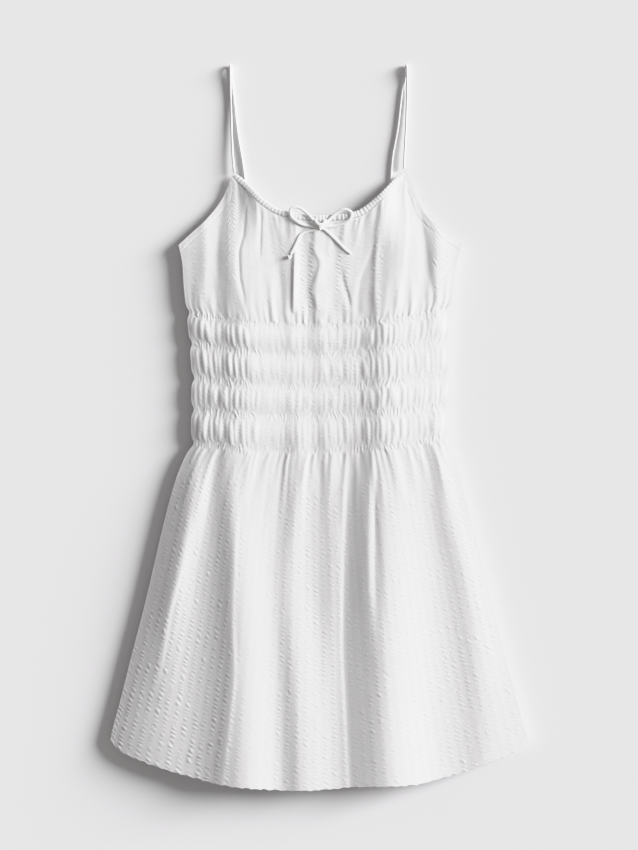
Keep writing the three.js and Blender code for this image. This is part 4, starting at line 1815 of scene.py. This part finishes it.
class NodeBuilder:
    """Adds shader nodes to a tree and links them in the order they are used."""

    def __init__(self, tree: bpy.types.NodeTree) -> None:
        """Keep the tree."""
        self.tree = tree

    def node(self, kind: str, **settings: object) -> bpy.types.Node:
        """Add a node and set its own properties.

        Args:
            kind: the node's type.
            settings: its properties' names and values.

        Returns:
            The node.
        """
        made = self.tree.nodes.new(kind)
        for name, value in settings.items():
            setattr(made, name, value)
        return made

    def put(self, socket: bpy.types.NodeSocket, value: object) -> None:
        """Link a socket, or set it where the value is a plain number or colour.

        Args:
            socket: the socket to feed.
            value: what feeds it.
        """
        if isinstance(value, bpy.types.NodeSocket):
            self.tree.links.new(value, socket)
        else:
            socket.default_value = value

    def math(self, operation: str, *values: object) -> bpy.types.NodeSocket:
        """A Math node's result.

        Args:
            operation: what it does.
            values: what goes into it, in order.

        Returns:
            The socket that its result comes out of.
        """
        made = self.node("ShaderNodeMath", operation=operation)
        for socket, value in zip(made.inputs, values):
            self.put(socket, value)
        return made.outputs[0]


def make_group(
    name: str, inputs: Sequence[tuple[str, str, object]], outputs: Sequence[tuple[str, str]],
) -> tuple[bpy.types.NodeTree, NodeBuilder, bpy.types.Node, bpy.types.Node]:
    """A shader node group with named sockets.

    Args:
        name: the group's name.
        inputs: name, socket type and default of each input.
        outputs: name and socket type of each output.

    Returns:
        The group's tree, its builder, and its input and output nodes.
    """
    tree = bpy.data.node_groups.new(name, "ShaderNodeTree")
    for title, kind, default in inputs:
        socket = tree.interface.new_socket(name=title, in_out="INPUT", socket_type=kind)
        if default is not None:
            socket.default_value = default
    for title, kind in outputs:
        tree.interface.new_socket(name=title, in_out="OUTPUT", socket_type=kind)
    build = NodeBuilder(tree)
    return tree, build, build.node("NodeGroupInput"), build.node("NodeGroupOutput")


def weave_group() -> bpy.types.NodeTree:
    """Plain weave: threads over and under each other, a little uneven.

    Returns:
        The node group.
    """
    tree, build, given, result = make_group(
        "Plain Weave",
        [
            ("Cloth", "NodeSocketVector", None),
            ("Threads", "NodeSocketFloat", 1600.0),
            ("Slubs", "NodeSocketFloat", 900.0),
        ],
        [("Height", "NodeSocketFloat")],
    )
    split = build.node("ShaderNodeSeparateXYZ")
    build.put(split.inputs[0], given.outputs["Cloth"])
    turn = build.math("MULTIPLY", given.outputs["Threads"], 2 * math.pi)
    warp = build.math("SINE", build.math("MULTIPLY", split.outputs["X"], turn))
    weft = build.math("SINE", build.math("MULTIPLY", split.outputs["Y"], turn))
    slub = build.node("ShaderNodeTexNoise", noise_dimensions="2D")
    build.put(slub.inputs["Vector"], given.outputs["Cloth"])
    build.put(slub.inputs["Scale"], given.outputs["Slubs"])
    crossing = build.math("MULTIPLY", warp, weft)
    uneven = build.math("MULTIPLY", crossing, build.math("ADD", slub.outputs["Fac"], 0.4))
    build.put(result.inputs["Height"], build.math("MULTIPLY_ADD", uneven, 0.5, 0.5))
    return tree


def crumple_group() -> bpy.types.NodeTree:
    """Fine crumples of washed cotton.

    Returns:
        The node group.
    """
    tree, build, given, result = make_group(
        "Cotton Crumple",
        [("Place", "NodeSocketVector", None), ("Scale", "NodeSocketFloat", 140.0)],
        [("Height", "NodeSocketFloat")],
    )
    noise = build.node("ShaderNodeTexNoise", noise_dimensions="3D")
    build.put(noise.inputs["Vector"], given.outputs["Place"])
    build.put(noise.inputs["Scale"], given.outputs["Scale"])
    build.put(noise.inputs["Detail"], 5.0)
    build.put(noise.inputs["Roughness"], 0.6)
    build.put(noise.inputs["Distortion"], 0.6)
    build.put(result.inputs["Height"], noise.outputs["Fac"])
    return tree


def tone_group() -> bpy.types.NodeTree:
    """Slow variation of the cotton's white, and a painted light that turns it to a whiter white up the
    dress.

    Returns:
        The node group.
    """
    tree, build, given, result = make_group(
        "Cotton Tone",
        [
            ("Place", "NodeSocketVector", None),
            ("White", "NodeSocketColor", (0.9, 0.9, 0.9, 1.0)),
            ("Shade", "NodeSocketColor", (0.86, 0.86, 0.85, 1.0)),
            ("Gathered", "NodeSocketColor", (0.9, 0.9, 0.9, 1.0)),
        ],
        [("Color", "NodeSocketColor"), ("Mask", "NodeSocketFloat")],
    )
    noise = build.node("ShaderNodeTexNoise", noise_dimensions="3D")
    build.put(noise.inputs["Vector"], given.outputs["Place"])
    build.put(noise.inputs["Scale"], 16.0)
    build.put(noise.inputs["Detail"], 3.0)
    mix = build.node("ShaderNodeMix", data_type="RGBA")
    build.put(mix.inputs["Factor"], noise.outputs["Fac"])
    build.put(mix.inputs["A"], given.outputs["White"])
    build.put(mix.inputs["B"], given.outputs["Shade"])
    # Painted light: from the upper skirt up through the waist and bodice, the colour turns to a whiter
    # white.
    split = build.node("ShaderNodeSeparateXYZ")
    build.put(split.inputs[0], given.outputs["Place"])
    painted_light_share = build.node("ShaderNodeMapRange", interpolation_type="SMOOTHSTEP")
    build.put(painted_light_share.inputs["Value"], split.outputs["Y"])
    build.put(painted_light_share.inputs["From Min"], PAINTED_LIGHT_FROM[0])
    build.put(painted_light_share.inputs["From Max"], PAINTED_LIGHT_FROM[1])
    whole = build.node("ShaderNodeMix", data_type="RGBA")
    build.put(whole.inputs["Factor"], painted_light_share.outputs["Result"])
    build.put(whole.inputs["A"], mix.outputs["Result"])
    build.put(whole.inputs["B"], given.outputs["Gathered"])
    build.put(result.inputs["Color"], whole.outputs["Result"])
    build.put(result.inputs["Mask"], noise.outputs["Fac"])
    return tree


@dataclass(frozen=True)
class CottonFinish:
    """A white cotton finish with its weave, crumple and tone, and a painted light that turns it whiter up
    the dress.
    """

    name: str
    white: tuple
    shade: tuple
    # gathered: a painted light, the whiter colour that the cloth turns to up the dress
    gathered: tuple
    roughness: float = 0.86
    uneven_roughness: float = 0.08
    sheen: float = 0.12
    sheen_roughness: float = 0.5
    specular: float = 0.25
    threads: float = 1500.0
    slubs: float = 900.0
    weave_depth: float = 0.00006
    crumple_depth: float = 0.00016
    crumple_scale: float = 150.0
    stripe_pitch: float = 0.0
    taut_weave: float = 0.7
    slack_weave: float = 0.6

    def build(self, groups: dict[str, bpy.types.NodeTree]) -> bpy.types.Material:
        """Make the material.

        Args:
            groups: the weave, crumple and tone groups.

        Returns:
            The material.
        """
        material = bpy.data.materials.new(self.name)
        material.use_nodes = True
        tree = material.node_tree
        tree.nodes.clear()
        build = NodeBuilder(tree)
        place = build.node("ShaderNodeTexCoord")
        cloth = build.node("ShaderNodeUVMap", uv_map="cloth")
        shader = build.node("ShaderNodeBsdfPrincipled")
        output = build.node("ShaderNodeOutputMaterial")
        tone = self.group(build, groups["tone"])
        build.put(tone.inputs["Place"], place.outputs["Object"])
        build.put(tone.inputs["White"], (*self.white, 1.0))
        build.put(tone.inputs["Shade"], (*self.shade, 1.0))
        # Painted light: the whiter colour up the dress.
        build.put(tone.inputs["Gathered"], (*self.gathered, 1.0))
        weave = self.group(build, groups["weave"])
        build.put(weave.inputs["Cloth"], cloth.outputs["UV"])
        build.put(weave.inputs["Threads"], self.threads)
        build.put(weave.inputs["Slubs"], self.slubs)
        crumple = self.group(build, groups["crumple"])
        build.put(crumple.inputs["Place"], place.outputs["Object"])
        build.put(crumple.inputs["Scale"], self.crumple_scale)
        weave_height = weave.outputs["Height"]
        if self.stripe_pitch:
            weave_height = build.math("MULTIPLY", weave_height, self.stripes(build, cloth.outputs["UV"]))
        fine = self.bump(build, weave_height, self.weave_depth)
        soft = self.bump(build, crumple.outputs["Height"], self.crumple_depth)
        build.put(soft.inputs["Normal"], fine.outputs["Normal"])
        smoothest = self.roughness - self.uneven_roughness / 2
        rough = build.math("MULTIPLY_ADD", tone.outputs["Mask"], self.uneven_roughness, smoothest)
        build.put(shader.inputs["Base Color"], tone.outputs["Color"])
        build.put(shader.inputs["Roughness"], rough)
        build.put(shader.inputs["Normal"], soft.outputs["Normal"])
        shader.inputs["Sheen Weight"].default_value = self.sheen
        shader.inputs["Sheen Roughness"].default_value = self.sheen_roughness
        shader.inputs["Specular IOR Level"].default_value = self.specular
        build.put(output.inputs["Surface"], shader.outputs["BSDF"])
        return material

    def group(self, build: NodeBuilder, tree: bpy.types.NodeTree) -> bpy.types.Node:
        """Place a node group."""
        return build.node("ShaderNodeGroup", node_tree=tree)

    def bump(self, build: NodeBuilder, height: bpy.types.NodeSocket, depth: float) -> bpy.types.Node:
        """Place a Bump node.

        Args:
            build: the material's builder.
            height: the pattern, from 0 to 1.
            depth: how deep it is, in metres.

        Returns:
            The node.
        """
        made = build.node("ShaderNodeBump")
        build.put(made.inputs["Strength"], 1.0)
        build.put(made.inputs["Distance"], depth)
        build.put(made.inputs["Height"], height)
        return made

    def stripes(self, build: NodeBuilder, cloth: bpy.types.NodeSocket) -> bpy.types.NodeSocket:
        """Deeper weave in the slack threads of the puckered stripes.

        Args:
            build: the material's builder.
            cloth: the place on the cloth.

        Returns:
            How deep the weave is there.
        """
        split = build.node("ShaderNodeSeparateXYZ")
        build.put(split.inputs[0], cloth)
        share = build.math("FRACT", build.math("DIVIDE", split.outputs["X"], self.stripe_pitch))
        inside = build.math("LESS_THAN", share, CLOTH.share)
        return build.math("MULTIPLY_ADD", inside, self.slack_weave, self.taut_weave)


@dataclass(frozen=True)
class FloorFinish:
    """The pale surface under the dress."""

    name: str = "Pale Floor"
    tone: tuple = (0.80, 0.793, 0.803)
    roughness: float = 0.95

    def build(self) -> bpy.types.Material:
        """Make the material.

        Returns:
            The material.
        """
        material = bpy.data.materials.new(self.name)
        material.use_nodes = True
        shader = material.node_tree.nodes["Principled BSDF"]
        shader.inputs["Base Color"].default_value = (*self.tone, 1.0)
        shader.inputs["Roughness"].default_value = self.roughness
        shader.inputs["Specular IOR Level"].default_value = 0.0
        return material


@dataclass(frozen=True)
class Studio:
    """Camera, light and floor."""

    centre: tuple = (-0.94, 0.94)
    frame_height: float = 1062.5
    plane: float = 12.0
    lens: float = 100.0
    sensor: float = 36.0
    sun_azimuth: float = 18.0
    sun_elevation: float = 19.0
    sun_angle: float = 27.0
    sun_strength: float = 7.12
    sun_colour: tuple = (1.0, 0.998, 1.012)
    fill: float = 0.285
    fill_colour: tuple = (1.0, 0.985, 0.962)
    shoulder: tuple = ((0, 0), (0.35, 0.7), (0.41, 0.806), (0.5, 0.877), (0.65, 0.92), (1, 0.952))
    shoulder_white: float = 2.0
    floor_size: float = 30.0

    def camera(self) -> None:
        """Look straight down, as the photograph does."""
        data = bpy.data.cameras.new("camera")
        data.lens = self.lens
        data.sensor_width = self.sensor
        data.clip_end = 100
        camera = bpy.data.objects.new("camera", data)
        distance = self.frame_height * self.lens / self.sensor
        camera.location = (self.centre[0] * MM, self.centre[1] * MM, (self.plane + distance) * MM)
        bpy.context.scene.collection.objects.link(camera)
        bpy.context.scene.camera = camera

    def lights(self) -> None:
        """One large soft key light from the upper right, and an even fill."""
        sun = bpy.data.lights.new("key", "SUN")
        sun.energy = self.sun_strength
        sun.color = self.sun_colour
        sun.angle = math.radians(self.sun_angle)
        lamp = bpy.data.objects.new("key", sun)
        azimuth, elevation = math.radians(self.sun_azimuth), math.radians(self.sun_elevation)
        lamp.rotation_euler = (0, math.pi / 2 - elevation, azimuth)
        bpy.context.scene.collection.objects.link(lamp)
        world = bpy.data.worlds.new("studio")
        world.use_nodes = True
        background = world.node_tree.nodes["Background"]
        background.inputs["Color"].default_value = (*self.fill_colour, 1.0)
        background.inputs["Strength"].default_value = self.fill
        bpy.context.scene.world = world

    def floor(self) -> None:
        """The surface that the dress lies on."""
        half = self.floor_size / 2
        mesh = bpy.data.meshes.new("floor")
        corners = [(-half, -half, 0), (half, -half, 0), (half, half, 0), (-half, half, 0)]
        mesh.from_pydata(corners, [], [(0, 1, 2, 3)])
        mesh.materials.append(FloorFinish().build())
        floor = bpy.data.objects.new("floor", mesh)
        bpy.context.scene.collection.objects.link(floor)

    def develop(self) -> None:
        """Show the light as it is."""
        view = bpy.context.scene.view_settings
        view.view_transform = "Standard"
        view.look = "None"
        view.use_curve_mapping = True
        mapping = view.curve_mapping
        mapping.white_level = [self.shoulder_white] * 3
        curve = mapping.curves[3]
        for place, value in self.shoulder[1:-1]:
            curve.points.new(place, value)
        for point, (place, value) in zip(curve.points, self.shoulder):
            point.location = (place, value)
        mapping.update()


LEFT_LOOP = (
    (-0.0042, 0.2525), (-0.016, 0.265), (-0.028, 0.273), (-0.036, 0.2705), (-0.036, 0.262), (-0.027, 0.254),
    (-0.016, 0.25), (-0.0064, 0.2486),
)
RIGHT_LOOP = (
    (0.0062, 0.2525), (0.02, 0.265), (0.032, 0.27), (0.0395, 0.266), (0.038, 0.2585), (0.028, 0.2525),
    (0.018, 0.2495), (0.0084, 0.2486),
)
LEFT_TAIL = (
    (-0.0054, 0.2442), (-0.015, 0.2425), (-0.024, 0.2385), (-0.029, 0.229), (-0.034, 0.2185),
    (-0.0366, 0.2132),
)
RIGHT_TAIL = ((0.0062, 0.2449), (0.016, 0.236), (0.026, 0.226), (0.033, 0.219), (0.039, 0.2147))
KNOT_PLACE = (0.001, 0.2486)
TAIL_KNOT_PLACE = (-0.0382, 0.2106)
LEFT_STRAP = Strap(
    Side.LEFT,
    start=(-0.1071, 0.3177),
    front=(
        (-0.109, 0.337, 0.0052), (-0.1104, 0.367, 0.004), (-0.1117, 0.412, 0.0032),
        (-0.1122, 0.436, 0.0046), (-0.1122, 0.45, 0.00575),
    ),
    back=(
        (-0.1116, 0.45), (-0.1106, 0.44), (-0.1073, 0.408), (-0.1028, 0.367), (-0.0963, 0.327),
        (-0.092, 0.296), (-0.087, 0.262), (-0.0822, 0.2266),
    ),
)
RIGHT_STRAP = Strap(
    Side.RIGHT,
    start=(0.1054, 0.3223),
    front=(
        (0.1064, 0.342, 0.0052), (0.1084, 0.381, 0.0038), (0.1094, 0.418, 0.0032),
        (0.1091, 0.438, 0.0046), (0.1089, 0.45, 0.00575),
    ),
    back=(
        (0.1083, 0.45), (0.107, 0.44), (0.1034, 0.42), (0.0976, 0.372), (0.0912, 0.337), (0.088, 0.3),
        (0.082, 0.262), (0.0766, 0.2266),
    ),
)


def build_bow(finish: bpy.types.Material) -> None:
    """Make the drawstring's two ends and its knots.

    Args:
        finish: their material.
    """
    left = BowCord(
        "drawstring_left_loop", ("bow_loop_left", "bow_tail_right"),
        exit_way=((0.008, 0.2575, 0.001), (0.004, 0.252, 0.002), (-0.0005, 0.2506, 0.0024)),
        loop=LEFT_LOOP, tail=((0.001, 0.2474), *RIGHT_TAIL), tip="bare", seed=11,
    )
    right = BowCord(
        "drawstring_right_loop", ("bow_loop_right", "bow_tail_left"),
        exit_way=((-0.007, 0.2575, 0.001), (-0.003, 0.252, 0.0026), (0.002, 0.2508, 0.0034)),
        loop=RIGHT_LOOP, tail=((0.0005, 0.247), *LEFT_TAIL), tip="knot", seed=12,
    )
    wrap_height, end_height = 1.7, 1.5
    wrap_x, wrap_y = in_mm(KNOT_PLACE)
    end_x, end_y = in_mm(TAIL_KNOT_PLACE)
    WoundKnot(
        "bow_wrap", "bow_knot", (wrap_x, wrap_y, left.cloth_under(wrap_x, wrap_y) + wrap_height),
        turns=((1.6, 3.2, 1.1, 0.3, -1.2), (1.6, 3.0, 1.2, -0.5, 1.0)), thickness=2.4,
    ).build(finish)
    tail_knot = WoundKnot(
        "tail_end_knot", "bow_tail_knot", (end_x, end_y, left.cloth_under(end_x, end_y) + end_height),
        turns=((1.5, 1.6, 0.8, 0.5, -0.7), (1.5, 1.5, 0.9, -0.7, 0.8)), thickness=1.9,
    ).build(finish)
    left.build(finish, [])
    right.build(finish, [tail_knot])


def build_panels(finish: bpy.types.Material) -> None:
    """Make the six panels of cloth.

    Args:
        finish: their material.
    """
    outline = FORM.outline
    foot_x, _ = outline.channel_foot()
    left = float(FORM.side(Side.LEFT, ARMPIT_Y))
    right = float(FORM.side(Side.RIGHT, ARMPIT_Y))
    anchors = (0.0, *((foot_x[k] - left) / (right - left) for k in (0, -1)), 1.0)
    bodice = cut_between(outline.bodice_top, bodice_low, top_y=ARMPIT_Y)
    plain_bodice = cut_between(lambda x: np.full_like(x, ARMPIT_Y), bodice_low, top_y=ARMPIT_Y)
    waist = cut_between(waist_top, waist_low)
    skirt = cut_between(skirt_top, outline.scalloped_hem, low_y=(outline.hem_y[0], outline.hem_y[-1]))
    panels = (
        (FrontBodice("front_bodice", "bodice_front", bodice, 312, 264, 420, 190, anchors), 0.062),
        (FrontWaist("front_waist", "waist_front", waist, 312, 260, 418, 175, anchors), None),
        (FrontSkirt("front_skirt", "skirt_front", skirt, 312, 288, 559, 440, anchors), 0.215),
        (BackPanel("back_bodice", "bodice_back", plain_bodice, 240, 100, 390, 105), None),
        (BackPanel("back_waist", "waist_back", waist, 240, 160, 400, 175), None),
        (BackPanel("back_skirt", "skirt_back", skirt, 200, 232, 559, 440), 0.215),
    )
    for panel, area in panels:
        piece = panel.build(finish)


def main() -> None:
    """Build the dress and its studio."""
    logging.basicConfig(level=logging.INFO, format="%(name)s %(message)s")
    studio = Studio()
    studio.camera()
    groups = {"weave": weave_group(), "crumple": crumple_group(), "tone": tone_group()}
    # The seersucker's gathered colour is a painted light that makes the upper dress whiter; the strap and
    # drawstring keep their own white there.
    seersucker = CottonFinish(
        "White Seersucker", white=(0.715, 0.707, 0.715), shade=(0.70, 0.69, 0.692),
        gathered=(0.765, 0.757, 0.765), stripe_pitch=CLOTH.pitch * MM,
    )
    strap_cotton = CottonFinish(
        "Strap Cotton", white=(0.82, 0.82, 0.815), shade=(0.80, 0.80, 0.795),
        gathered=(0.82, 0.82, 0.815), crumple_scale=400.0,
    )
    drawstring = CottonFinish(
        "Drawstring Cotton", white=(0.82, 0.818, 0.81), shade=(0.80, 0.798, 0.79),
        gathered=(0.82, 0.818, 0.81), crumple_scale=500.0,
    )
    cord = drawstring.build(groups)
    build_bow(cord)
    cloth = seersucker.build(groups)
    build_panels(cloth)
    NeckChannel().build(cloth)
    strap = strap_cotton.build(groups)
    for part in (LEFT_STRAP, RIGHT_STRAP):
        part.build(strap)
    studio.floor()
    studio.lights()
    studio.develop()


if __name__ == "__main__":
    main()
